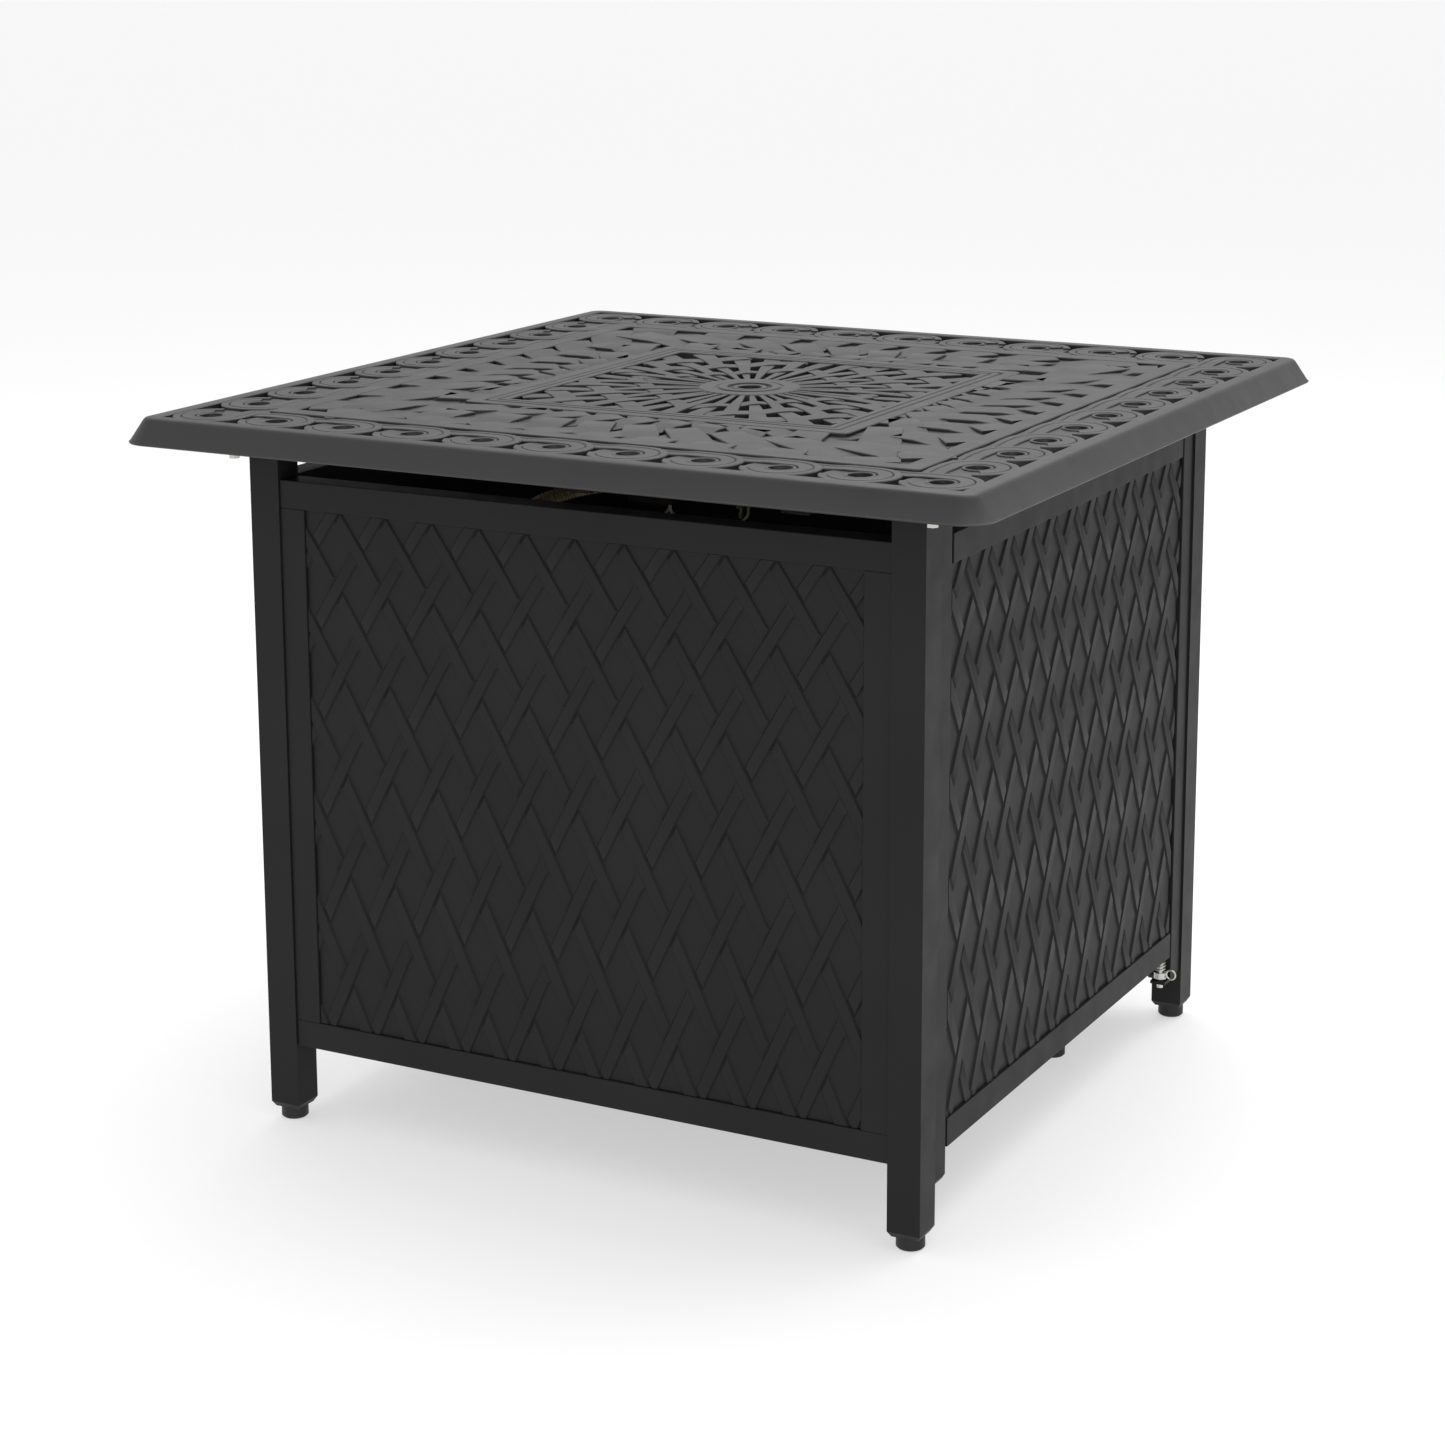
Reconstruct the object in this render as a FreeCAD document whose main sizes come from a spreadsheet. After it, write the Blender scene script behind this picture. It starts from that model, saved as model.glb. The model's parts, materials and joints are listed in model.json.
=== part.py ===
"""Square gas fire pit table: cast aluminium top with a lift-off centre grate over the burner,
on a tube frame with embossed side panels and one hinged door for the gas bottle.

Frame: +Z up, origin on the floor under the middle of the table. The front is -Y, the door is on +X
and the controls are on -X.
"""
import FreeCAD, Part
import math
import os
import re
import Sketcher
from FreeCAD import Placement, Rotation, Vector

# ---------------------------------------------------------------- driving sizes, millimetres

SIZES = [
    # the table top casting
    ("table_width", 813.0, "skirt, corner to corner along a side"),
    ("table_height", 654.0, "floor to the top face"),
    ("skirt_height", 22.0, "depth of the sloping skirt"),
    ("skirt_flare", 14.0, "how far the skirt leans out on each side"),
    ("skirt_wall", 4.0, "casting wall in the skirt"),
    ("deck_thickness", 6.0, "casting wall in the deck"),
    ("table_corner", 28.0, "corner radius at the foot of the skirt"),
    ("ring_inset", 59.0, "border rings' middles from the skirt's foot"),
    ("ring_hole", 20.0, "hole in the middle of a border ring"),
    ("rings_per_side", 11.0, "border rings along a side, corners included"),
    # the grate that lifts off the burner, and its seat
    ("lid_width", 350.0, "grate, side"),
    ("lid_thickness", 6.5, "grate, thickness"),
    ("lid_gap", 1.5, "clearance round the grate"),
    ("lid_hole", 22.0, "finger hole in the middle of the grate"),
    ("ledge_width", 12.0, "seat under the grate's edge"),
    ("ledge_depth", 14.0, "thickness of the cast collar under the seat"),
    ("collar_wall", 18.0, "collar outside the grate's seat"),
    # the legs
    ("overhang", 81.5, "skirt's foot beyond the legs on each side"),
    ("leg_margin", 5.0, "leg tube's side beyond a frame tube's"),
    ("leg_wall", 1.8, "leg tube, wall"),
    ("leg_foot", 16.0, "floor to the cut end of the leg tube"),
    ("plug_lip", 5.0, "part of the end plug that shows"),
    ("plug_taper", 3.0, "how far the plug's lip draws in"),
    ("plug_depth", 22.0, "part of the end plug inside the tube"),
    ("plug_fit", 0.15, "clearance between a plug and its tube"),
    ("glide_diameter", 24.5, "round floor glide"),
    ("glide_stem", 8.0, "stem of the glide in its plug"),
    ("glide_stem_length", 18.0, "how far the stem reaches into the plug"),
    ("stem_fit", 0.05, "clearance round every stem, bolt and pin"),
    ("top_plate", 4.0, "plate welded on the leg"),
    ("top_plate_width", 74.0, "plate welded on the leg, side"),
    ("boss_height", 25.0, "cast boss between the deck and the leg plate"),
    ("bolt_diameter", 6.0, "table bolts"),
    ("bolt_offset", 24.0, "table bolts from the leg's middle, each way"),
    ("bolt_head", 10.0, "table bolt's head across its corners"),
    ("bolt_head_height", 5.0, "table bolt's head"),
    ("bolt_bite", 18.0, "table bolt in the boss"),
    # the side frames
    ("frame_tube", 25.0, "rails, stiles and door posts, side"),
    ("frame_wall", 1.5, "rails, stiles and door posts, wall"),
    ("frame_recess", 2.0, "frame face behind the legs' outer face"),
    ("rail_low", 74.0, "floor to the underside of the bottom rails"),
    ("rail_drop", 23.0, "top rails below the legs' upper end"),
    ("panel_recess", 3.0, "panel face behind the frame face"),
    ("panel_sheet", 1.5, "panel sheet"),
    ("panel_return", 18.0, "folded edge of a panel"),
    ("panel_fit", 0.2, "clearance round a panel"),
    # the door
    ("door_gap", 3.0, "clearance at each side of the door"),
    ("post_below", 22.0, "cut end of the door posts below the bottom rail"),
    ("post_drop", 3.0, "top of the door posts below the legs' upper end"),
    ("post_plug_lip", 4.0, "part of a post's end plug that shows"),
    ("post_plug_taper", 2.0, "how far that lip draws in"),
    ("pin_diameter", 6.0, "door hinge pins"),
    ("pin_inset", 6.5, "hinge line behind the door's face"),
    ("pin_edge", 8.0, "hinge line from the door's end"),
    ("lug_plate", 3.0, "hinge lugs, thickness"),
    ("lug_width", 15.0, "hinge lugs, width"),
    ("lug_below", 24.0, "underside of the lower lug below the bottom rail"),
    ("lug_above", 4.0, "upper lug above the top rail"),
    ("pin_reach", 22.0, "upper hinge pin inside its door rail"),
    ("release_reach", 13.0, "release pin inside its door rail"),
    ("pin_below", 5.0, "hinge pin past its lug"),
    ("collar_height", 6.0, "collar of the release pin"),
    ("collar_lift", 1.5, "collar of the release pin above its lug"),
    ("collar_diameter", 12.0, "collar of the release pin"),
    ("curl_radius", 4.6, "finger curl of the release pin"),
    ("curl_wire", 1.8, "wire of the finger curl"),
    ("spring_wire", 1.0, "wire of the release spring"),
    ("spring_diameter", 9.0, "release spring, to the middle of its wire"),
    ("spring_turns", 4.0, "turns of the release spring"),
    ("catch_width", 50.0, "magnet catch, along the door"),
    ("catch_depth", 12.0, "magnet catch, front to back"),
    ("catch_height", 15.0, "magnet catch, height"),
    ("catch_gap", 0.3, "magnet to its strike plate"),
    ("strike_plate", 1.5, "strike plate"),
    ("strike_width", 22.0, "strike plate, along the door"),
    # the burner
    ("well_inset", 50.0, "burner pan's well in from the lid's edge"),
    ("pan_sheet", 1.5, "burner pan, sheet"),
    ("pan_depth", 77.0, "burner pan, seat to the outside of its floor"),
    ("pan_flange_gap", 1.0, "clearance round the pan's flange"),
    ("pan_corner", 14.0, "burner pan, corner radius"),
    ("strap_width", 28.0, "pan straps"),
    ("strap_sheet", 2.0, "pan straps, thickness"),
    ("strap_offset", 110.0, "pan straps from the middle"),
    ("strap_foot", 14.0, "turned ends of a pan strap"),
    ("burner_diameter", 150.0, "ring burner, to the middle of its tube"),
    ("burner_tube", 16.0, "ring burner, tube"),
    ("burner_rise", 22.0, "ring burner's middle above the pan floor"),
    ("nipple_diameter", 20.0, "burner's inlet nipple"),
    ("nipple_below", 8.0, "nipple below the pan"),
    ("nut_size", 30.0, "locknut across its flats"),
    ("nut_height", 6.0, "locknut"),
    ("mixer_size", 26.0, "air mixer, side"),
    ("mixer_height", 16.0, "air mixer, height"),
    ("rod_diameter", 5.0, "pan hold-down rods"),
    ("rod_offset", 60.0, "hold-down rods from the middle, along the front"),
    ("rod_clear", 8.0, "hold-down rods from the pan's wall"),
    ("rod_below", 9.0, "hold-down rods below the pan floor"),
    ("electrode_diameter", 7.0, "igniter's ceramic body"),
    ("electrode_height", 48.0, "igniter electrode, over all"),
    ("probe_clear", 6.5, "electrode's and sensor's middle outside the ring burner"),
    ("probe_angle", 26.6, "electrode and sensor round from the front, degrees"),
    ("probe_tail", 9.0, "electrode and sensor below the pan floor"),
    ("sensor_diameter", 5.0, "flame sensor"),
    ("sensor_height", 40.0, "flame sensor, over all"),
    ("module_width", 44.0, "spark module"),
    ("module_depth", 24.0, "spark module, front to back"),
    ("module_height", 36.0, "spark module, height"),
    ("lead_diameter", 2.5, "igniter and sensor leads"),
    # the controls
    ("plate_width", 150.0, "control plate"),
    ("plate_height", 96.0, "control plate"),
    ("plate_sheet", 2.0, "control plate, thickness"),
    ("control_drop", 66.0, "middle of the control plate below the top rail"),
    ("control_offset", 34.0, "knob and button from the plate's middle"),
    ("valve_size", 40.0, "gas valve body, side"),
    ("valve_depth", 34.0, "gas valve body, front to back"),
    ("stem_diameter", 8.0, "valve stem"),
    ("knob_diameter", 44.0, "control knob"),
    ("knob_depth", 22.0, "control knob"),
    ("knob_gap", 7.0, "knob to the plate, for the push"),
    ("button_diameter", 17.0, "igniter button"),
    ("button_stand", 7.0, "igniter button proud of its bezel"),
    ("bezel_diameter", 26.0, "igniter button's bezel"),
    ("bezel_height", 4.0, "igniter button's bezel"),
    ("barrel_diameter", 20.0, "igniter barrel"),
    ("barrel_length", 38.0, "igniter barrel behind the plate"),
    ("button_fit", 0.3, "clearance round the button"),
    ("port_diameter", 15.8, "gas inlet spigot on the valve"),
    ("port_length", 16.0, "gas inlet spigot on the valve"),
    ("flex_diameter", 14.0, "corrugated gas tube"),
    # the bottle tray
    ("tray_gap", 18.0, "bottle tray to the frames on its left and right"),
    ("tray_width", 360.0, "bottle tray, front to back"),
    ("tray_sheet", 2.0, "bottle tray, sheet"),
    ("tray_lip", 14.0, "turned-up rim of the tray"),
    ("tray_hole", 206.0, "hole for the bottle's foot ring"),
    ("bearer_size", 20.0, "cross bearers under the tray"),
    ("bearer_inset", 32.0, "cross bearers from the tray's end"),
    ("foot_inset", 28.0, "tray feet from the tray's front and back edges"),
    ("foot_diameter", 24.0, "tray feet"),
    ("foot_height", 10.0, "pad of a tray foot"),
    ("foot_stud", 8.0, "stud of a tray foot"),
]

DOC = FreeCAD.newDocument("FirePit")
SHEET = DOC.addObject("Spreadsheet::Sheet", "Dimensions")
for row, (alias, size, note) in enumerate(SIZES, start=1):
    SHEET.set(f"A{row}", note)
    SHEET.set(f"B{row}", str(size))
    SHEET.setAlias(f"B{row}", alias)
DOC.recompute()

ALIAS = re.compile(r"\b(" + "|".join(alias for alias, _, _ in SIZES) + r")\b")
PARTS = []

# heights and places that several pieces share, as expressions of the sizes
LEG_SPAN = "(table_width - 2 * overhang)"
LEG_SIZE = "(frame_tube + leg_margin)"
FACE = f"({LEG_SPAN} / 2 - frame_recess)"
BACK_OF_FRAME = f"({FACE} - frame_tube)"
BETWEEN_LEGS = f"({LEG_SPAN} / 2 - {LEG_SIZE})"
LEG_MIDDLE = f"({LEG_SPAN} / 2 - {LEG_SIZE} / 2)"
OPENING = f"({BETWEEN_LEGS} - frame_tube)"
RING_REACH = "(table_width / 2 - ring_inset)"
SKIRT_LOW = "(table_height - skirt_height)"
DECK_LOW = "(table_height - deck_thickness)"
PLATE_TOP = f"({DECK_LOW} - boss_height)"
LEG_TOP = f"({PLATE_TOP} - top_plate)"
RAIL_HIGH = f"({LEG_TOP} - rail_drop)"
PANEL_LOW = "(rail_low + frame_tube)"
PANEL_HIGH = f"({RAIL_HIGH} - frame_tube)"
POST_LOW = "(rail_low - post_below)"
POST_HEIGHT = f"({LEG_TOP} - post_drop - {POST_LOW})"
LUG_LOW = "(rail_low - lug_below)"
LUG_HIGH = f"({RAIL_HIGH} + lug_above)"
CONTROL_LEVEL = f"({PANEL_HIGH} - control_drop)"
SEAT = "(table_height - lid_thickness - pan_sheet)"
PAN_WELL = "(lid_width - 2 * well_inset)"
PAN_FLOOR = f"({SEAT} - pan_depth)"
DOOR_HALF = f"({OPENING} - door_gap)"
PIN_X = f"({FACE} - pin_inset)"
PIN_Y = f"({DOOR_HALF} - pin_edge)"
PROBE_REACH = "(burner_diameter / 2 + burner_tube / 2 + probe_clear)"
PROBE_X = f"({PROBE_REACH} * sin(probe_angle * 1 deg))"
PROBE_Y = f"({PROBE_REACH} * cos(probe_angle * 1 deg))"
TRAY_TOP = "(rail_low + bearer_size / 2 + tray_sheet)"
TRAY_LENGTH = f"(2 * ({BACK_OF_FRAME} - tray_gap))"
BEARER_LOW = f"({TRAY_TOP} - tray_sheet - bearer_size)"
BEARER_MIDDLE = f"({TRAY_LENGTH} / 2 - bearer_inset)"
FOOT_MIDDLE = "(tray_width / 2 - foot_inset)"


def sized(alias):
    """The number in the sheet's cell of that name."""
    return float(SHEET.get(alias))


def bound(text):
    """An expression in size names, as FreeCAD reads it."""
    return ALIAS.sub(r"Dimensions.\g<0>", text)


def bind(item, **expressions):
    """Ties properties of an object to the sheet; a double underscore stands for a dot."""
    for name, text in expressions.items():
        item.setExpression(name.replace("__", "."), bound(text))


def turned(x, y, yaw):
    """The place (x, y) after a quarter-turn yaw about the table's middle."""
    return {0: (x, y), 90: (f"-({y})", x), 180: (f"-({x})", f"-({y})"), -90: (y, f"-({x})")}[yaw]


def place(item, x, y, z, yaw=0):
    """Puts an object at a point of the front side, then turns it round the table with that side."""
    item.Placement = Placement(Vector(), Rotation(Vector(0, 0, 1), yaw))
    placed_x, placed_y = turned(x, y, yaw)
    bind(item, Placement__Base__x=placed_x, Placement__Base__y=placed_y, Placement__Base__z=z)


def keep(item, label):
    """Marks an object as a finished sub-part under its own name."""
    item.Label = label
    PARTS.append(item)
    return item


def box(name, length, width, height, x="0", y="0", z="0"):
    """A Part box bound to the sheet, its low corner at (x, y, z)."""
    item = DOC.addObject("Part::Box", name)
    bind(item, Length=length, Width=width, Height=height)
    place(item, x, y, z)
    return item


def cylinder(name, diameter, length, x="0", y="0", z="0", along=(0, 0, 1)):
    """A Part cylinder bound to the sheet, from (x, y, z) along the given direction."""
    item = DOC.addObject("Part::Cylinder", name)
    bind(item, Radius=f"({diameter}) / 2", Height=length)
    item.Placement = Placement(Vector(), Rotation(Vector(0, 0, 1), Vector(*along)))
    bind(item, Placement__Base__x=x, Placement__Base__y=y, Placement__Base__z=z)
    return item


def cut(name, solid, tool):
    """One object less another."""
    item = DOC.addObject("Part::Cut", name)
    item.Base = solid
    item.Tool = tool
    return item


def fuse(name, *solids):
    """Several objects joined into one."""
    item = DOC.addObject("Part::MultiFuse", name)
    item.Shapes = list(solids)
    return item


def tube(label, run, axis, x, y, z, yaw=0):
    """A square frame tube with open ends, its low corner at (x, y, z) of the front side."""
    over = "frame_wall"
    outer = {"length": "frame_tube", "width": "frame_tube", "height": "frame_tube"}
    inner = dict.fromkeys(outer, "frame_tube - 2 * frame_wall")
    start = dict.fromkeys("xyz", "frame_wall")
    side = {"x": "length", "y": "width", "z": "height"}[axis]
    outer[side] = run
    inner[side] = f"{run} + 2 * {over}"
    start[axis] = f"-{over}"
    item = cut(label, box(label + "_outside", **outer), box(label + "_bore", **inner, **start))
    place(item, x, y, z, yaw)
    return keep(item, label)


# ---------------------------------------------------------------- sketch helpers

def sketch_on(body, name, level="0", plane="XY_Plane"):
    """A new sketch on one of the body's own origin planes, lifted along that plane's normal."""
    sketch = body.newObject("Sketcher::SketchObject", name)
    support = next(item for item in body.Origin.OriginFeatures if item.Role == plane)
    sketch.AttachmentSupport = (support, [""])
    sketch.MapMode = "FlatFace"
    bind(sketch, AttachmentOffset__Base__z=level)
    return sketch


def fix_point(sketch, geometry, point, x, y):
    """Holds a sketch point at (x, y), both expressions, from the sketch's origin."""
    for kind, text in (("DistanceX", x), ("DistanceY", y)):
        index = sketch.addConstraint(Sketcher.Constraint(kind, -1, 1, geometry, point, 0.0))
        sketch.setExpression(f"Constraints[{index}]", bound(text))


def rectangle(sketch, length, width, x="0", y="0"):
    """A rectangle centred on (x, y)."""
    corners = [Vector(-1, -1), Vector(1, -1), Vector(1, 1), Vector(-1, 1)]
    first = sketch.GeometryCount
    for start, end in zip(corners, corners[1:] + corners[:1]):
        sketch.addGeometry(Part.LineSegment(start, end))
    for index in range(4):
        after = first + (index + 1) % 4
        sketch.addConstraint(Sketcher.Constraint("Coincident", first + index, 2, after, 1))
        kind = "Vertical" if index % 2 else "Horizontal"
        sketch.addConstraint(Sketcher.Constraint(kind, first + index))
    fix_point(sketch, first, 1, f"{x} - ({length}) / 2", f"{y} - ({width}) / 2")
    fix_point(sketch, first + 2, 1, f"{x} + ({length}) / 2", f"{y} + ({width}) / 2")


def rounded_square(sketch, width, radius):
    """A square with round corners, centred on the sketch's origin."""
    reach = 10.0
    first = sketch.GeometryCount
    for quarter in range(4):
        turn = math.radians(90 * quarter)
        centre = Vector(math.cos(turn) - math.sin(turn), math.sin(turn) + math.cos(turn)) * reach
        circle = Part.Circle(centre, Vector(0, 0, 1), reach / 5)
        sketch.addGeometry(Part.ArcOfCircle(circle, turn, turn + math.pi / 2))
    for quarter in range(4):
        here = sketch.Geometry[first + quarter].EndPoint
        there = sketch.Geometry[first + (quarter + 1) % 4].StartPoint
        line = sketch.addGeometry(Part.LineSegment(here, there))
        following = first + (quarter + 1) % 4
        sketch.addConstraint(Sketcher.Constraint("Tangent", first + quarter, 2, line, 1))
        sketch.addConstraint(Sketcher.Constraint("Tangent", line, 2, following, 1))
    inset = f"(({width}) / 2 - ({radius}))"
    signs = [("", ""), ("-", ""), ("-", "-"), ("", "-")]
    for quarter, (sign_x, sign_y) in enumerate(signs):
        fix_point(sketch, first + quarter, 3, sign_x + inset, sign_y + inset)
        index = sketch.addConstraint(Sketcher.Constraint("Radius", first + quarter, reach / 5))
        sketch.setExpression(f"Constraints[{index}]", bound(radius))


def circle(sketch, diameter, x="0", y="0"):
    """A circle centred on (x, y)."""
    index = sketch.addGeometry(Part.Circle(Vector(), Vector(0, 0, 1), 1.0))
    fix_point(sketch, index, 3, x, y)
    size_index = sketch.addConstraint(Sketcher.Constraint("Radius", index, 1.0))
    sketch.setExpression(f"Constraints[{size_index}]", bound(f"({diameter}) / 2"))


def feature(body, kind, name, profile, length, **settings):
    """A Pad or Pocket of a sketch; raises if it changes nothing."""
    before = body.Tip.Shape.Volume if body.Tip else 0.0
    item = body.newObject("PartDesign::" + kind, name)
    item.Profile = profile
    for key, setting in settings.items():
        setattr(item, key, setting)
    bind(item, Length=length)
    body.Tip = item
    DOC.recompute()
    grown = item.Shape.Volume - before
    if (kind == "Pad") != (grown > 0):
        raise ValueError(f"{name} changed the volume by {grown:.1f}")
    return item


def around(body, name, original, count=4):
    """Repeats a feature round the Z axis."""
    item = body.newObject("PartDesign::PolarPattern", name)
    item.Originals = [original]
    axis = next(line for line in body.Origin.OriginFeatures if line.Role == "Z_Axis")
    item.Axis = (axis, [""])
    item.Angle = 360.0
    item.Occurrences = count
    body.Tip = item
    DOC.recompute()
    return item


def new_body(label, kept=True):
    """An empty PartDesign body, kept under its label unless it goes into a group."""
    body = DOC.addObject("PartDesign::Body", label)
    return keep(body, label) if kept else body


def group(label, items):
    """Identical pieces that share one node, each a solid of its own."""
    item = DOC.addObject("Part::Compound", label)
    item.Links = items
    return keep(item, label)


def revolved(label, outline, x, y, z, along=(0, 0, 1), kept=True):
    """A turned piece: outline is (radius, height) expressions, from the axis and back to it."""
    body = new_body(label, kept)
    sketch = sketch_on(body, label + "_profile", plane="XZ_Plane")
    points = [Vector(index + 1, index * (index - len(outline))) for index in range(len(outline))]
    for start, end in zip(points, points[1:] + points[:1]):
        sketch.addGeometry(Part.LineSegment(start, end))
    for index in range(len(outline)):
        after = (index + 1) % len(outline)
        sketch.addConstraint(Sketcher.Constraint("Coincident", index, 2, after, 1))
    for index, (radius, height) in enumerate(outline):
        fix_point(sketch, index, 1, radius, height)
    turn = body.newObject("PartDesign::Revolution", label + "_turn")
    turn.Profile = sketch
    turn.ReferenceAxis = (sketch, ["V_Axis"])
    turn.Angle = 360.0
    body.Tip = turn
    body.Placement = Placement(Vector(), Rotation(Vector(0, 0, 1), Vector(*along)))
    bind(body, Placement__Base__x=x, Placement__Base__y=y, Placement__Base__z=z)
    DOC.recompute()
    return body


# ---------------------------------------------------------------- table top and grate

def table_top():
    """Cast top: sloping skirt, perforated deck, a collar with the grate's seat, four leg bosses."""
    body = new_body("table_top")
    lean = math.degrees(math.atan2(sized("skirt_flare"), sized("skirt_height")))
    skirt = sketch_on(body, "skirt_outline", SKIRT_LOW)
    rounded_square(skirt, "table_width", "table_corner")
    feature(body, "Pad", "skirt_slab", skirt, "skirt_height", TaperAngle=-lean)
    hollow = sketch_on(body, "skirt_hollow", SKIRT_LOW)
    rounded_square(hollow, "table_width - 2 * skirt_wall", "table_corner - skirt_wall")
    feature(body, "Pocket", "skirt_cavity", hollow, "skirt_height - deck_thickness",
            TaperAngle=-lean, Reversed=True)
    collar = sketch_on(body, "collar_outline", f"{SEAT} - ledge_depth")
    rectangle(collar, *["lid_width + 2 * lid_gap + 2 * collar_wall"] * 2)
    feature(body, "Pad", "collar_slab", collar, f"{DECK_LOW} - {SEAT} + ledge_depth")
    boss = sketch_on(body, "boss_outline", PLATE_TOP)
    rectangle(boss, "top_plate_width", "top_plate_width", LEG_MIDDLE, LEG_MIDDLE)
    around(body, "bosses", feature(body, "Pad", "boss", boss, "boss_height"))
    seat = sketch_on(body, "seat_outline", "table_height")
    rectangle(seat, *["lid_width + 2 * lid_gap"] * 2)
    feature(body, "Pocket", "seat_rebate", seat, "lid_thickness + pan_sheet")
    opening = sketch_on(body, "opening_outline", "table_height")
    rectangle(opening, *["lid_width - 2 * ledge_width"] * 2)
    feature(body, "Pocket", "burner_opening", opening, "table_height", Type="ThroughAll")
    holes = sketch_on(body, "ring_holes", "table_height")
    steps = int(sized("rings_per_side")) - 1
    for index in range(steps):
        circle(holes, "ring_hole", f"{RING_REACH} * {2 * index / steps - 1}", f"-{RING_REACH}")
    around(body, "ring_borders", feature(body, "Pocket", "ring_row", holes, "2 * deck_thickness"))
    bolt_holes = sketch_on(body, "bolt_holes", PLATE_TOP)
    for sign in ("+", "-"):
        across = f"{LEG_MIDDLE} {sign} bolt_offset"
        circle(bolt_holes, "bolt_diameter + 2 * stem_fit", across, across)
    around(body, "boss_holes", feature(body, "Pocket", "boss_hole", bolt_holes,
                                       "bolt_bite + 2 * stem_fit", Reversed=True))


def burner_lid():
    """The square grate that covers the burner and lifts off by its middle hole."""
    body = new_body("burner_lid")
    plate = sketch_on(body, "lid_outline", "table_height - lid_thickness")
    rounded_square(plate, "lid_width", "4 * lid_gap")
    circle(plate, "lid_hole")
    feature(body, "Pad", "lid_plate", plate, "lid_thickness")


# ---------------------------------------------------------------- legs

def leg(label, sign_x, sign_y):
    """A square leg tube with its top plate welded on, two bolts' holes in the plate."""
    middle_x = f"{sign_x}{LEG_MIDDLE}"
    middle_y = f"{sign_y}{LEG_MIDDLE}"
    body = new_body(label)
    outline = sketch_on(body, label + "_outline", "leg_foot")
    rectangle(outline, LEG_SIZE, LEG_SIZE, middle_x, middle_y)
    bore = f"{LEG_SIZE} - 2 * leg_wall"
    rectangle(outline, bore, bore, middle_x, middle_y)
    feature(body, "Pad", label + "_tube", outline, f"{LEG_TOP} - leg_foot")
    plate = sketch_on(body, label + "_plate_outline", LEG_TOP)
    rectangle(plate, "top_plate_width", "top_plate_width", middle_x, middle_y)
    for sign in ("+", "-"):
        circle(plate, "bolt_diameter + 2 * stem_fit",
               f"{sign_x}({LEG_MIDDLE} {sign} bolt_offset)", f"{sign_y}({LEG_MIDDLE} {sign} bolt_offset)")
    feature(body, "Pad", label + "_plate", plate, "top_plate")


def end_plug(label, x, y, outer, wall, low, lip, taper, stem_hole=None):
    """A moulded plug: a tapering lip under the tube's end and a square shank inside it."""
    body = new_body(label, kept=False)
    width = f"{outer} - 2 * {wall} - 2 * plug_fit"
    slope = math.degrees(math.atan2(sized(taper), sized(lip)))
    lip_outline = sketch_on(body, label + "_lip_outline", low)
    rectangle(lip_outline, outer, outer, x, y)
    feature(body, "Pad", label + "_lip", lip_outline, lip, TaperAngle=-slope, Reversed=True)
    shank = sketch_on(body, label + "_shank_outline", low)
    rectangle(shank, width, width, x, y)
    feature(body, "Pad", label + "_shank", shank, "plug_depth")
    if stem_hole:
        hole = sketch_on(body, label + "_hole", f"{low} - {lip}")
        circle(hole, stem_hole, x, y)
        feature(body, "Pocket", label + "_socket", hole, "glide_stem_length + stem_fit", Reversed=True)
    return body


def leg_set():
    """Four legs with their plugs, floor glides and table bolts."""
    plugs = []
    glides = []
    bolts = []
    corners = {"front_left": ("-", "-"), "front_right": ("", "-"),
               "back_left": ("-", ""), "back_right": ("", "")}
    for corner, (sign_x, sign_y) in corners.items():
        x = f"{sign_x}{LEG_MIDDLE}"
        y = f"{sign_y}{LEG_MIDDLE}"
        leg(f"leg_{corner}", sign_x, sign_y)
        plugs.append(end_plug(f"plug_{corner}", x, y, LEG_SIZE, "leg_wall", "leg_foot", "plug_lip",
                              "plug_taper", "glide_stem + 2 * stem_fit"))
        pad = "leg_foot - plug_lip"
        outline = [("0", "0"), ("glide_diameter / 2 - 1.5", "0"), ("glide_diameter / 2", "1.5"),
                   ("glide_diameter / 2", pad), ("glide_stem / 2", pad),
                   ("glide_stem / 2", f"{pad} + glide_stem_length"), ("0", f"{pad} + glide_stem_length")]
        glides.append(revolved(f"glide_{corner}", outline, x, y, "0", kept=False))
        for place_name, sign in (("outer", "+"), ("inner", "-")):
            bolt_x = f"{sign_x}({LEG_MIDDLE} {sign} bolt_offset)"
            bolt_y = f"{sign_y}({LEG_MIDDLE} {sign} bolt_offset)"
            name = f"bolt_{corner}_{place_name}"
            head = DOC.addObject("Part::Prism", name + "_head")
            head.Polygon = 6
            bind(head, Circumradius="bolt_head / 2", Height="bolt_head_height")
            place(head, bolt_x, bolt_y, f"{LEG_TOP} - bolt_head_height")
            shank = cylinder(name + "_shank", "bolt_diameter", "top_plate + bolt_bite",
                             bolt_x, bolt_y, LEG_TOP)
            bolts.append(fuse(name, head, shank))
    group("leg_plugs", plugs)
    group("leg_glides", glides)
    group("table_bolts", bolts)


# ---------------------------------------------------------------- side frames

def side_panel(label, length, yaw):
    """An embossed sheet with folded edges, set into the opening of a frame."""
    height = f"({PANEL_HIGH} - {PANEL_LOW} - 2 * panel_fit)"
    sheet = box(label + "_sheet", length, "panel_return", height)
    hollow = box(label + "_hollow", f"{length} - 2 * panel_sheet", "panel_return",
                 f"{height} - 2 * panel_sheet", "panel_sheet", "panel_sheet", "panel_sheet")
    panel = cut(label, sheet, hollow)
    place(panel, f"-({length}) / 2", f"-({FACE} - panel_recess)", f"{PANEL_LOW} + panel_fit", yaw)
    return panel


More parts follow.
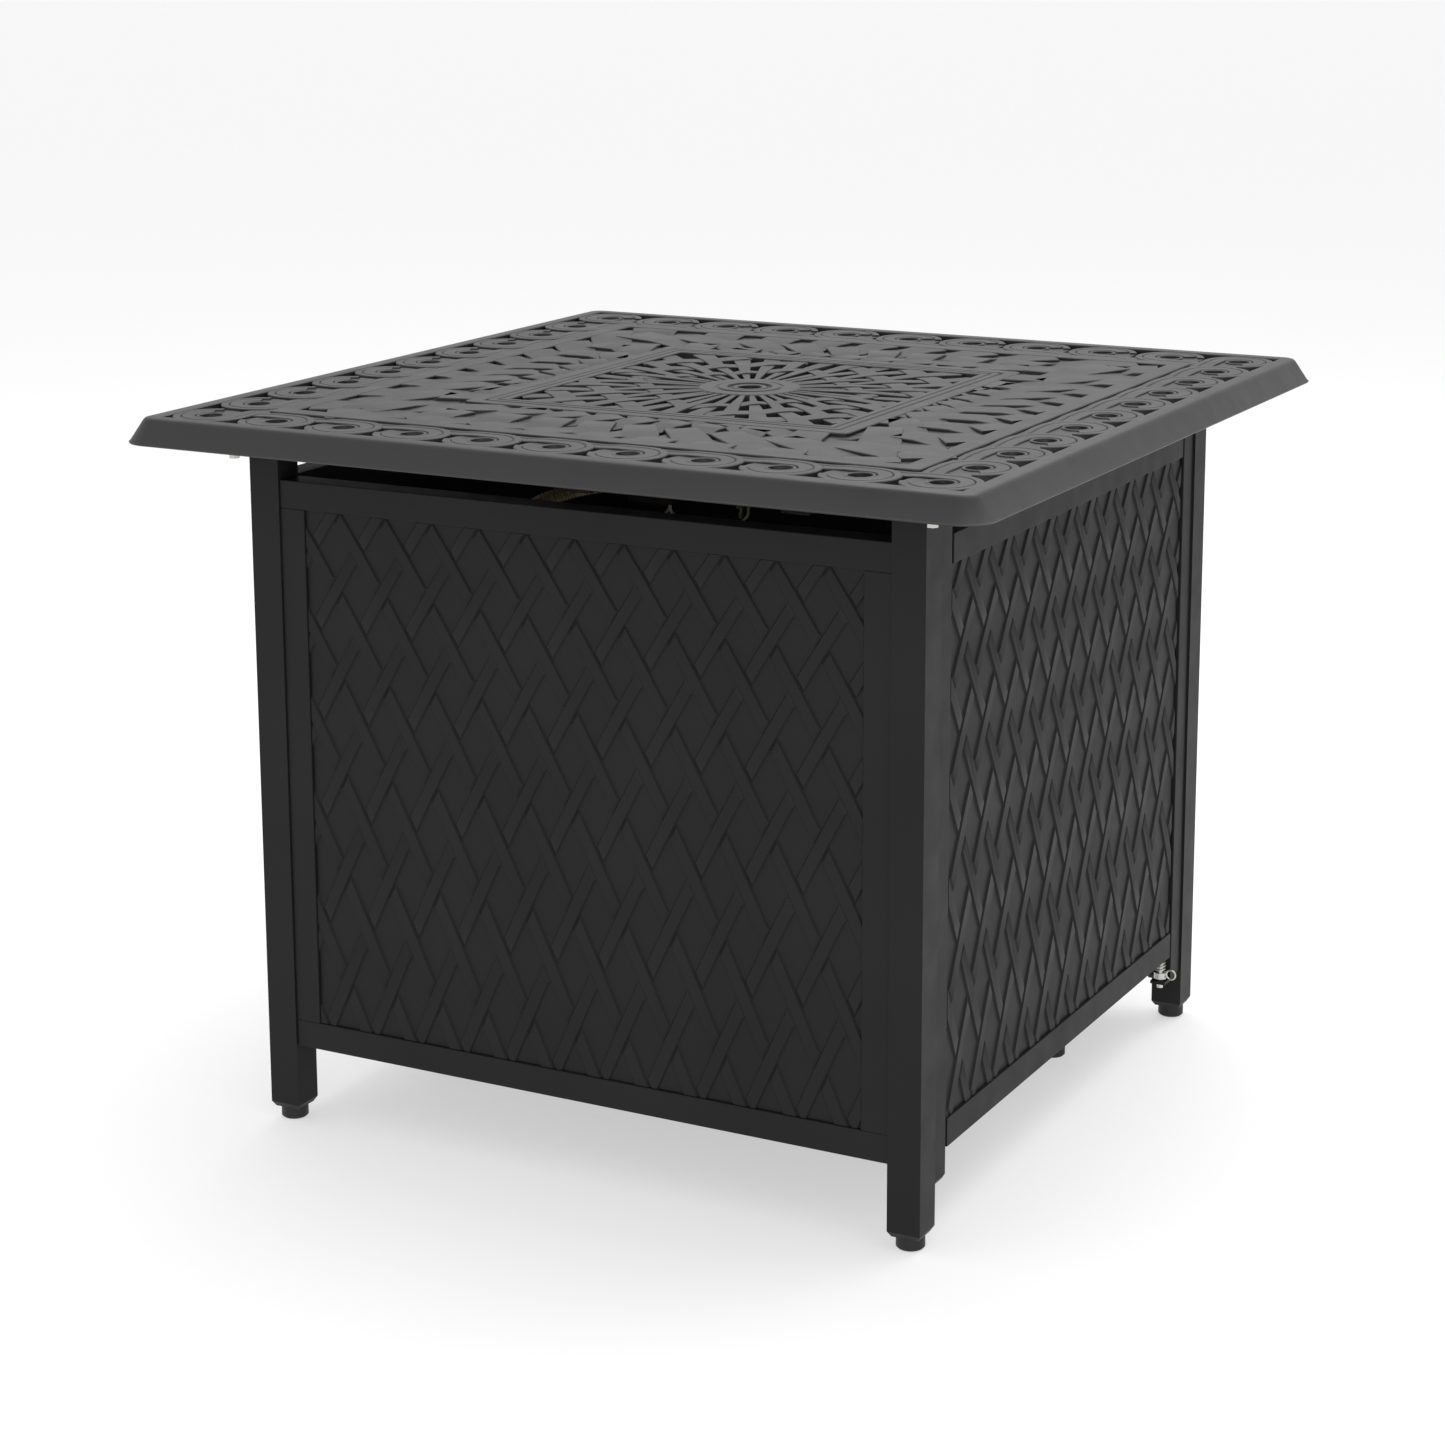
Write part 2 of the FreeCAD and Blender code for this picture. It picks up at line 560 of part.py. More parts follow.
def side_frame(side, yaw, cutout=None):
    """A fixed frame between two legs: two full rails, two stiles between them and a panel."""
    low = f"-{FACE}"
    run = f"2 * {BETWEEN_LEGS}"
    tube(f"{side}_bottom_rail", run, "x", f"-{BETWEEN_LEGS}", low, "rail_low", yaw)
    tube(f"{side}_top_rail", run, "x", f"-{BETWEEN_LEGS}", low, PANEL_HIGH, yaw)
    height = f"{PANEL_HIGH} - {PANEL_LOW}"
    tube(f"{side}_stile_a", height, "z", f"-{BETWEEN_LEGS}", low, PANEL_LOW, yaw)
    tube(f"{side}_stile_b", height, "z", OPENING, low, PANEL_LOW, yaw)
    panel = side_panel(f"{side}_panel_tray", f"(2 * {OPENING} - 2 * panel_fit)", yaw)
    if cutout:
        panel = cut(f"{side}_panel_pierced", panel, cutout)
    keep(panel, f"{side}_panel")


# ---------------------------------------------------------------- door side

def hinge_lug(label, z):
    """A plate welded on the hinge post, with the hole that a hinge pin turns in."""
    reach = f"({OPENING} - {PIN_Y} + lug_width / 2)"
    plate = box(label + "_plate", "lug_width", reach, "lug_plate",
                f"{PIN_X} - lug_width / 2", f"{PIN_Y} - lug_width / 2", z)
    hole = cylinder(label + "_hole", "pin_diameter + 2 * stem_fit", "3 * lug_plate",
                    PIN_X, PIN_Y, f"{z} - lug_plate")
    keep(cut(label, plate, hole), label)


def door_rail(label, z, pin_hole_z):
    """A door rail: a square tube with one hole through the wall that its hinge pin enters."""
    outer = box(label + "_outside", "frame_tube", f"2 * {DOOR_HALF}", "frame_tube",
                BACK_OF_FRAME, f"-{DOOR_HALF}", z)
    bore = box(label + "_bore", "frame_tube - 2 * frame_wall", f"2 * {DOOR_HALF} + 2 * frame_wall",
               "frame_tube - 2 * frame_wall", f"{BACK_OF_FRAME} + frame_wall",
               f"-{DOOR_HALF} - frame_wall", f"{z} + frame_wall")
    hole = cylinder(label + "_pin_hole", "pin_diameter + 2 * stem_fit", "3 * frame_wall",
                    PIN_X, PIN_Y, pin_hole_z)
    keep(cut(label, outer, fuse(label + "_voids", bore, hole)), label)


def door_side():
    """The two fixed posts, the door leaf between them, its pins and its catch."""
    plugs = []
    for name, y in (("latch", f"-{BETWEEN_LEGS}"), ("hinge", OPENING)):
        post = cut(f"door_post_{name}",
                   box(name + "_outside", "frame_tube", "frame_tube", POST_HEIGHT),
                   box(name + "_bore", "frame_tube - 2 * frame_wall", "frame_tube - 2 * frame_wall",
                       f"{POST_HEIGHT} + 2 * frame_wall", "frame_wall", "frame_wall",
                       "-frame_wall"))
        place(post, BACK_OF_FRAME, y, POST_LOW)
        keep(post, f"door_post_{name}")
        plugs.append(end_plug(f"plug_{name}", f"{BACK_OF_FRAME} + frame_tube / 2",
                              f"{y} + frame_tube / 2", "frame_tube", "frame_wall", POST_LOW,
                              "post_plug_lip", "post_plug_taper"))
    group("door_post_plugs", plugs)
    door_rail("door_bottom_rail", "rail_low", "rail_low - frame_wall")
    door_rail("door_top_rail", PANEL_HIGH, f"{RAIL_HIGH} - 2 * frame_wall")
    keep(side_panel("door_panel", f"(2 * {DOOR_HALF} - 2 * panel_fit)", 90), "door_panel")
    hinge_lug("door_lug_bottom", LUG_LOW)
    hinge_lug("door_lug_top", LUG_HIGH)
    top_pin = cylinder("door_pin_top", "pin_diameter", "lug_above + lug_plate + pin_reach",
                       PIN_X, PIN_Y, f"{RAIL_HIGH} - pin_reach + frame_wall")
    keep(top_pin, "door_pin_top")
    release_pin()
    magnet_catch()


def release_pin():
    """The sprung lower hinge pin: a collar with a finger curl, and the spring above it."""
    collar_low = f"({LUG_LOW} + lug_plate + collar_lift)"
    spring_room = "lug_below - lug_plate - collar_lift - collar_height - spring_wire"
    shaft = cylinder("release_shaft", "pin_diameter", "release_reach + lug_below + pin_below",
                     PIN_X, PIN_Y, f"{LUG_LOW} - pin_below")
    collar = cylinder("release_collar", "collar_diameter", "collar_height", PIN_X, PIN_Y, collar_low)
    curl = DOC.addObject("Part::Torus", "release_curl")
    bind(curl, Radius1="curl_radius", Radius2="curl_wire / 2")
    curl.Placement = Placement(Vector(), Rotation(Vector(1, 0, 0), 90))
    bind(curl, Placement__Base__x=f"{PIN_X} + collar_diameter / 2 + curl_radius + curl_wire / 6",
         Placement__Base__y=PIN_Y, Placement__Base__z=f"{collar_low} + curl_radius")
    keep(fuse("door_release_pin", shaft, collar, curl), "door_release_pin")
    coil = DOC.addObject("Part::Helix", "spring_line")
    bind(coil, Radius="spring_diameter / 2", Height=spring_room,
         Pitch=f"({spring_room}) / spring_turns")
    section = DOC.addObject("Part::Circle", "spring_section")
    section.Placement = Placement(Vector(), Rotation(Vector(1, 0, 0), 90))
    bind(section, Radius="spring_wire / 2", Placement__Base__x="spring_diameter / 2")
    spring = DOC.addObject("Part::Sweep", "release_spring")
    spring.Sections = [section]
    spring.Spine = (coil, ["Edge1"])
    spring.Solid = True
    spring.Frenet = True
    bind(spring, Placement__Base__x=PIN_X, Placement__Base__y=PIN_Y,
         Placement__Base__z=f"{collar_low} + collar_height + spring_wire / 2")
    keep(spring, "release_spring")


def magnet_catch():
    """A magnet block behind the latch post and the strike plate on the door's top rail."""
    middle = f"({PANEL_HIGH} + frame_tube / 2)"
    block_back = f"{BACK_OF_FRAME} - strike_plate - catch_gap - catch_depth"
    block = box("catch_block", "catch_depth", "catch_width", "catch_height", block_back,
                f"-{BETWEEN_LEGS} + frame_wall", f"{middle} - catch_height / 2")
    foot = box("catch_foot", "catch_depth + strike_plate + catch_gap", "frame_tube - 2 * frame_wall",
               "catch_height", block_back, f"-{BETWEEN_LEGS} + frame_wall",
               f"{middle} - catch_height / 2")
    keep(fuse("door_magnet", block, foot), "door_magnet")
    strike = box("door_strike", "strike_plate", "strike_width", "catch_height + 2 * strike_plate",
                 f"{BACK_OF_FRAME} - strike_plate", f"-{DOOR_HALF}",
                 f"{middle} - catch_height / 2 - strike_plate")
    keep(strike, "door_strike")


# ---------------------------------------------------------------- burner

def burner_pan():
    """Sheet pan with a flange that hangs in the table's opening, pierced for the burner's parts."""
    body = new_body("burner_pan")
    outline = sketch_on(body, "well_outline", SEAT)
    rounded_square(outline, PAN_WELL, "pan_corner")
    feature(body, "Pad", "well", outline, "pan_depth", Reversed=True)
    flange = sketch_on(body, "flange_outline", SEAT)
    rectangle(flange, *["lid_width + 2 * lid_gap - 2 * pan_flange_gap"] * 2)
    feature(body, "Pad", "flange", flange, "pan_sheet")
    inside = sketch_on(body, "well_inside", f"{SEAT} + pan_sheet")
    rounded_square(inside, f"{PAN_WELL} - 2 * pan_sheet", "pan_corner - pan_sheet")
    feature(body, "Pocket", "well_cavity", inside, "pan_depth")
    holes = sketch_on(body, "floor_holes", PAN_FLOOR)
    circle(holes, "nipple_diameter + 2 * stem_fit")
    circle(holes, "electrode_diameter + 2 * stem_fit", PROBE_X, f"-{PROBE_Y}")
    circle(holes, "sensor_diameter + 2 * stem_fit", f"-{PROBE_X}", f"-{PROBE_Y}")
    feature(body, "Pocket", "floor_piercing", holes, "2 * pan_sheet", Reversed=True)


def pan_straps():
    """Four straps on the pan's front and back walls, turned under its flange and its floor."""
    height = "pan_depth + strap_sheet"
    straps = []
    for yaw, side in ((0, "front"), (180, "back")):
        for end, sign in (("left", "-"), ("right", "")):
            name = f"pan_strap_{side}_{end}"
            wall = box(name + "_wall", "strap_width", "strap_sheet", height, "0", "0", "0")
            top = box(name + "_top", "strap_width", "strap_foot", "strap_sheet", "0",
                      "strap_sheet - strap_foot", f"{height} - strap_sheet")
            foot = box(name + "_foot", "strap_width", "strap_foot", "strap_sheet")
            strap = fuse(name, wall, top, foot)
            flip = sign if yaw == 0 else {"-": "", "": "-"}[sign]
            place(strap, f"{flip}strap_offset - strap_width / 2", f"-{PAN_WELL} / 2 - strap_sheet",
                  f"{PAN_FLOOR} - strap_sheet", yaw)
            straps.append(strap)
    group("pan_straps", straps)


def hold_down_rods():
    """Threaded rods that draw the pan down on its seat, each with a nut under the table."""
    rods = []
    for yaw, side in ((0, "front"), (180, "back")):
        y = f"(-{PAN_WELL} / 2 - rod_clear)"
        length = f"{SEAT} - {PAN_FLOOR} + rod_below"
        rod = cylinder(f"rod_{side}_shaft", "rod_diameter", length)
        nut = DOC.addObject("Part::Prism", f"rod_{side}_nut")
        nut.Polygon = 6
        bind(nut, Circumradius="rod_diameter * 0.9", Height="rod_diameter * 0.8")
        place(nut, "0", "0", "rod_below")
        item = fuse(f"pan_rod_{side}", rod, nut)
        place(item, "rod_offset", y, f"{PAN_FLOOR} - rod_below", yaw)
        rods.append(item)
    group("pan_rods", rods)


def burner():
    """Ring burner on its inlet nipple, locknut, air mixer, spark electrode and flame sensor."""
    ring_level = f"{PAN_FLOOR} + pan_sheet + burner_rise"
    ring = DOC.addObject("Part::Torus", "burner_hoop")
    bind(ring, Radius1="burner_diameter / 2", Radius2="burner_tube / 2")
    place(ring, "0", "0", ring_level)
    arm = cylinder("burner_arm", "burner_tube * 0.8", "burner_diameter", "-burner_diameter / 2", "0",
                   ring_level, along=(1, 0, 0))
    hub = cylinder("burner_hub", "nipple_diameter + 8", "burner_rise", "0", "0",
                   f"{PAN_FLOOR} + pan_sheet")
    keep(fuse("ring_burner", ring, arm, hub), "ring_burner")
    nipple = cylinder("burner_nipple", "nipple_diameter", "nipple_below + pan_sheet", "0", "0",
                      f"{PAN_FLOOR} - nipple_below")
    keep(nipple, "burner_nipple")
    nut = DOC.addObject("Part::Prism", "nut_outside")
    nut.Polygon = 6
    bind(nut, Circumradius="nut_size / 2 / cos(30 deg)", Height="nut_height")
    place(nut, "0", "0", f"{PAN_FLOOR} - nut_height")
    bore = cylinder("nut_bore", "nipple_diameter + 2 * stem_fit", "3 * nut_height", "0", "0",
                    f"{PAN_FLOOR} - 2 * nut_height")
    keep(cut("burner_locknut", nut, bore), "burner_locknut")
    mixer = box("air_mixer", "mixer_size", "mixer_size", "mixer_height", "-mixer_size / 2",
                "-mixer_size / 2", f"{PAN_FLOOR} - nipple_below - mixer_height")
    keep(mixer, "air_mixer")
    for label, diameter, x, height in (
            ("spark_electrode", "electrode_diameter", PROBE_X, "electrode_height"),
            ("flame_sensor", "sensor_diameter", f"-{PROBE_X}", "sensor_height")):
        probe = cylinder(label, diameter, height, x, f"-{PROBE_Y}", f"{PAN_FLOOR} - probe_tail")
        keep(probe, label)
    module = box("spark_module", "module_width", "module_depth", "module_height",
                 "-module_width", f"-{PAN_WELL} / 2 - module_depth", PAN_FLOOR)
    keep(module, "spark_module")


def smooth_tube(label, route, diameter):
    """A round tube along straight runs joined by tangent arcs; prints its radii and its length."""
    edges = []
    here = route[0]
    radii = []
    for before, corner, after in zip(route, route[1:], route[2:]):
        inward = (corner - before).normalize()
        outward = (after - corner).normalize()
        half_turn = inward.getAngle(outward) / 2
        shorter = min((corner - before).Length, (after - corner).Length)
        radius = 0.45 * shorter / math.tan(half_turn)
        start = corner - inward * (0.45 * shorter)
        end = corner + outward * (0.45 * shorter)
        bisector = (outward - inward).normalize()
        centre = corner + bisector * (radius / math.cos(half_turn))
        middle = centre - bisector * radius
        edges.append(Part.makeLine(here, start))
        edges.append(Part.Arc(start, middle, end).toShape())
        here = end
        radii.append(round(radius))
    edges.append(Part.makeLine(here, route[-1]))
    spine = Part.Wire(edges)
    heading = (route[1] - route[0]).normalize()
    section = Part.Wire(Part.makeCircle(diameter / 2, route[0], heading))
    item = DOC.addObject("Part::Feature", label)
    item.Shape = spine.makePipeShell([section], True, True)
    expected = math.pi * diameter ** 2 / 4 * spine.Length
    print(f"{label}: {spine.Length:.0f} long, radii {radii}, volume ratio "
          f"{item.Shape.Volume / expected:.3f}")
    return keep(item, label)


def gas_and_leads():
    """The corrugated gas tube from valve to mixer, and the leads of the electrode and the sensor."""
    floor = sized("table_height") - sized("lid_thickness") - sized("pan_sheet") - sized("pan_depth")
    level = floor - sized("nipple_below") - sized("mixer_height") / 2
    leg_top = sized("table_height") - sized("deck_thickness") - sized("boss_height") - sized("top_plate")
    control = leg_top - sized("rail_drop") - sized("frame_tube") - sized("control_drop")
    valve_back = (sized("frame_recess") + sized("panel_recess") + sized("valve_depth")
                  + sized("overhang") - sized("table_width") / 2)
    valve_y = -sized("control_offset")
    mixer_side = -sized("mixer_size") / 2
    reach = mixer_side - valve_back
    drop = level - control
    smooth_tube("gas_flex", [
        Vector(mixer_side, 0, level), Vector(mixer_side - 0.22 * reach, 0, level),
        Vector(mixer_side - 0.47 * reach, 0.25 * valve_y, level - 1),
        Vector(mixer_side - 0.70 * reach, 0.7 * valve_y, level - 0.38 * drop),
        Vector(mixer_side - 0.86 * reach, valve_y, control),
        Vector(valve_back, valve_y, control)], sized("flex_diameter"))
    front = sized("well_inset") - sized("lid_width") / 2 - sized("module_depth") / 2
    turn = math.radians(sized("probe_angle"))
    probe_reach = sized("burner_diameter") / 2 + sized("burner_tube") / 2 + sized("probe_clear")
    spread = probe_reach * math.sin(turn)
    probe = -probe_reach * math.cos(turn)
    tail = floor - sized("probe_tail")
    smooth_tube("spark_lead", [
        Vector(spread, probe, tail), Vector(spread, probe, tail - 9),
        Vector(spread - 4.5, probe - 5, tail - 14.2), Vector(spread - 13, probe - 13, tail - 14.8),
        Vector(spread - 24, probe - 26, tail - 12), Vector(4, front + 15, floor - 17.5),
        Vector(-5, front + 4, floor - 13), Vector(-8, front, floor - 8),
        Vector(-8, front, floor)], sized("lead_diameter"))
    ear = valve_y - sized("valve_size") * 2 / 3
    smooth_tube("sensor_lead", [
        Vector(-spread, probe, tail), Vector(-spread, probe, tail - 9),
        Vector(-spread - 3, probe - 4.5, tail - 14.8), Vector(-spread - 12, probe - 11, tail - 15.4),
        Vector(-spread - 28, probe - 17, tail - 14.5), Vector(-spread - 55, probe - 19, tail - 15),
        Vector(-spread - 98, probe - 13, tail - 14.5), Vector(-188, probe - 3, control + 29),
        Vector(-232, ear - 9, control + 12), Vector(-262, ear, control),
        Vector(valve_back, ear, control)], sized("lead_diameter"))


# ---------------------------------------------------------------- controls on the left side

def controls():
    """Control plate in the left panel: gas valve with its stem and knob, igniter with its button."""
    outside = f"(-({FACE} - panel_recess) - plate_sheet)"
    inside = f"({outside} + plate_sheet + panel_sheet)"
    knob_y = "-control_offset"
    button_y = "control_offset"
    plate = box("plate_blank", "plate_sheet", "plate_width", "plate_height", outside,
                "-plate_width / 2", f"{CONTROL_LEVEL} - plate_height / 2")
    holes = fuse("plate_holes",
                 cylinder("stem_hole", "stem_diameter + 2 * stem_fit", "3 * plate_sheet",
                          f"{outside} - plate_sheet", knob_y, CONTROL_LEVEL, (1, 0, 0)),
                 cylinder("barrel_hole", "barrel_diameter + 2 * stem_fit", "3 * plate_sheet",
                          f"{outside} - plate_sheet", button_y, CONTROL_LEVEL, (1, 0, 0)))
    keep(cut("control_plate", plate, holes), "control_plate")
    block = box("valve_block", "valve_depth - panel_sheet", "valve_size", "valve_size", inside,
                f"{knob_y} - valve_size / 2", f"{CONTROL_LEVEL} - valve_size / 2")
    port = cylinder("valve_port", "port_diameter", "port_length", f"{inside} + valve_depth / 2", knob_y,
                    f"{CONTROL_LEVEL} - valve_size / 2 - port_length")
    ear = box("valve_ear", "valve_depth - panel_sheet", "valve_size / 3 + 1", "valve_size / 3", inside,
              f"{knob_y} - valve_size * 5 / 6", f"{CONTROL_LEVEL} - valve_size / 6")
    socket = cylinder("stem_socket", "stem_diameter + 2 * stem_fit", "valve_depth * 0.6",
                      f"{inside} - 1", knob_y, CONTROL_LEVEL, (1, 0, 0))
    keep(cut("gas_valve", fuse("valve_body", block, port, ear), socket), "gas_valve")
    stem_start = f"({outside} - knob_gap - knob_depth * 0.6)"
    stem = cylinder("valve_stem", "stem_diameter", f"{inside} + valve_depth * 0.3 - {stem_start}",
                    stem_start, knob_y, CONTROL_LEVEL, (1, 0, 0))
    keep(stem, "valve_stem")
    knob_body(f"{outside} - knob_gap", knob_y)
    bezel = cylinder("bezel_rim", "bezel_diameter", "bezel_height", f"{outside} - bezel_height",
                     button_y, CONTROL_LEVEL, (1, 0, 0))
    barrel = cylinder("igniter_tube", "barrel_diameter", "barrel_length + plate_sheet", outside,
                      button_y, CONTROL_LEVEL, (1, 0, 0))
    well = cylinder("button_well", "button_diameter + 2 * button_fit", "bezel_height + plate_sheet + 6",
                    f"{outside} - bezel_height - 1", button_y, CONTROL_LEVEL, (1, 0, 0))
    keep(cut("igniter_barrel", fuse("igniter_shell", bezel, barrel), well), "igniter_barrel")
    button_face = f"{outside} - bezel_height - button_stand"
    button = cylinder("igniter_button", "button_diameter", "button_stand + bezel_height - 1",
                      button_face, button_y, CONTROL_LEVEL, (1, 0, 0))
    keep(button, "igniter_button")
    return fuse("panel_cutout",
                box("valve_window", "4 * panel_return", "valve_size + 2 * panel_fit",
                    "valve_size + 2 * panel_fit", f"{outside} - panel_return",
                    f"{knob_y} - valve_size / 2 - panel_fit",
                    f"{CONTROL_LEVEL} - valve_size / 2 - panel_fit"),
                cylinder("barrel_window", "bezel_diameter", "4 * panel_return",
                         f"{outside} - panel_return", button_y, CONTROL_LEVEL, (1, 0, 0)))


def knob_body(back, y):
    """The control knob: a skirted grip with a pointer bar, bored for the valve stem."""
    outline = [("stem_diameter / 2 + stem_fit", "0"), ("knob_diameter / 2", "0"),
               ("knob_diameter / 2", "knob_depth * 0.2"),
               ("knob_diameter * 0.42", "knob_depth * 0.3"),
               ("knob_diameter * 0.38", "knob_depth * 0.93"),
               ("knob_diameter * 0.34", "knob_depth"), ("0", "knob_depth"),
               ("0", "knob_depth * 0.62"), ("stem_diameter / 2 + stem_fit", "knob_depth * 0.62")]
    revolved("control_knob", outline, back, y, CONTROL_LEVEL, along=(-1, 0, 0))


# ---------------------------------------------------------------- bottle tray

def bottle_tray():
    """Tray with a hole for the gas bottle's foot ring, on two bearers with floor feet."""
    body = new_body("bottle_tray")
    outline = sketch_on(body, "tray_outline", f"{TRAY_TOP} - tray_sheet")
    rectangle(outline, TRAY_LENGTH, "tray_width")
    feature(body, "Pad", "tray_slab", outline, "tray_lip")
    inside = sketch_on(body, "tray_inside", TRAY_TOP)
    rectangle(inside, f"{TRAY_LENGTH} - 2 * tray_sheet", "tray_width - 2 * tray_sheet")
    feature(body, "Pocket", "tray_hollow", inside, "tray_lip", Reversed=True)
    hole = sketch_on(body, "bottle_hole", TRAY_TOP)
    circle(hole, "tray_hole")
    feature(body, "Pocket", "bottle_seat", hole, "2 * tray_sheet")
    bearers = []
    feet = []
    for side, sign in (("left", "-"), ("right", "")):
        run = f"2 * {BACK_OF_FRAME}"
        middle = f"{sign}{BEARER_MIDDLE}"
        outer = box(f"bearer_{side}_outside", "bearer_size", run, "bearer_size")
        bore = box(f"bearer_{side}_bore", "bearer_size - 2 * frame_wall", f"{run} + 2 * frame_wall",
                   "bearer_size - 2 * frame_wall", "frame_wall", "-frame_wall", "frame_wall")
        bearer = cut(f"tray_bearer_{side}", outer, bore)
        place(bearer, f"{middle} - bearer_size / 2", f"-{BACK_OF_FRAME}", BEARER_LOW)
        bearers.append(bearer)
    outline = [("0", "0"), ("foot_diameter / 2 - 1.5", "0"), ("foot_diameter / 2", "1.5"),
               ("foot_diameter / 2", "foot_height"), ("foot_stud / 2", "foot_height"),
               ("foot_stud / 2", BEARER_LOW), ("0", BEARER_LOW)]
    for end, sign_y in (("front", "-"), ("back", "")):
        for side, sign_x in (("left", "-"), ("right", "")):
            feet.append(revolved(f"tray_foot_{end}_{side}", outline, f"{sign_x}{BEARER_MIDDLE}",
                                 f"{sign_y}{FOOT_MIDDLE}", "0", kept=False))
    group("tray_bearers", bearers)
    group("tray_feet", feet)


# ---------------------------------------------------------------- build, check, write

table_top()
burner_lid()
leg_set()
side_frame("front", 0)
side_frame("back", 180)
side_frame("left", -90, controls())
door_side()
burner_pan()
pan_straps()
hold_down_rods()
burner()
gas_and_leads()
bottle_tray()
DOC.recompute()

for item in DOC.Objects:
    if {"Invalid", "Error"} & set(item.State):
        raise RuntimeError(f"{item.Label} did not compute: {item.State}")
os.makedirs("parts", exist_ok=True)
for item in PARTS:
    if item.Shape.isNull() or not item.Shape.isValid():
        raise RuntimeError(f"{item.Label} has no valid shape")
    item.Shape.exportStep(f"parts/{item.Label}.step")
print(f"{len(PARTS)} sub-parts written")
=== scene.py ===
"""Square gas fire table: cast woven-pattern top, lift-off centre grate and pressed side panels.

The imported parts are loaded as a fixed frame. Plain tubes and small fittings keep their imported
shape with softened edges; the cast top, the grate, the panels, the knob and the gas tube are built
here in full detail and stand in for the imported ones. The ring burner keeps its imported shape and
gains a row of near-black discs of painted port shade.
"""

import json
import logging
import math
from dataclasses import dataclass, field
from enum import Enum

import bmesh
import bpy
from mathutils import Euler, Matrix, Vector


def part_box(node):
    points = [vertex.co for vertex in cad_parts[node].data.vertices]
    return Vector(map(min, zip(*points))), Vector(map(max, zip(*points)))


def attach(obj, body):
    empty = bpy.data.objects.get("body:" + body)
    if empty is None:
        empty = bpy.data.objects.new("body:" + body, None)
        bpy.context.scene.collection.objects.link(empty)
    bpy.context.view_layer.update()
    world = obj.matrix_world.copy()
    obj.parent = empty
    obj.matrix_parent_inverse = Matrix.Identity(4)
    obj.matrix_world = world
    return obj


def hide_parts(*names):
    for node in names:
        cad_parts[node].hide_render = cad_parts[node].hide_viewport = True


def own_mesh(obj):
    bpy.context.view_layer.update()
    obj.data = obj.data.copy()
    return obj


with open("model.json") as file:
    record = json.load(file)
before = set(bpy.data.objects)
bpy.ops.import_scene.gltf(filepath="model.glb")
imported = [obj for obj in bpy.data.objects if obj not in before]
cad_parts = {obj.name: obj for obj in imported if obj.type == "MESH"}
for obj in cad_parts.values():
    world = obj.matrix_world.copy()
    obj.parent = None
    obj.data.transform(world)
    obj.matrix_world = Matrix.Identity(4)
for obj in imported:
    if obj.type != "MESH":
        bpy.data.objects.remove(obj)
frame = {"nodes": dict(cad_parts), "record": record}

LOG = logging.getLogger("fire_table")
MM = 0.001
SKIRT_HEIGHT = 22.0
FLANGE_SHEET = 1.5
Point2 = tuple[float, float]
Point3 = tuple[float, float, float]
Colour = tuple[float, float, float]


# ---------------------------------------------------------------- finishes

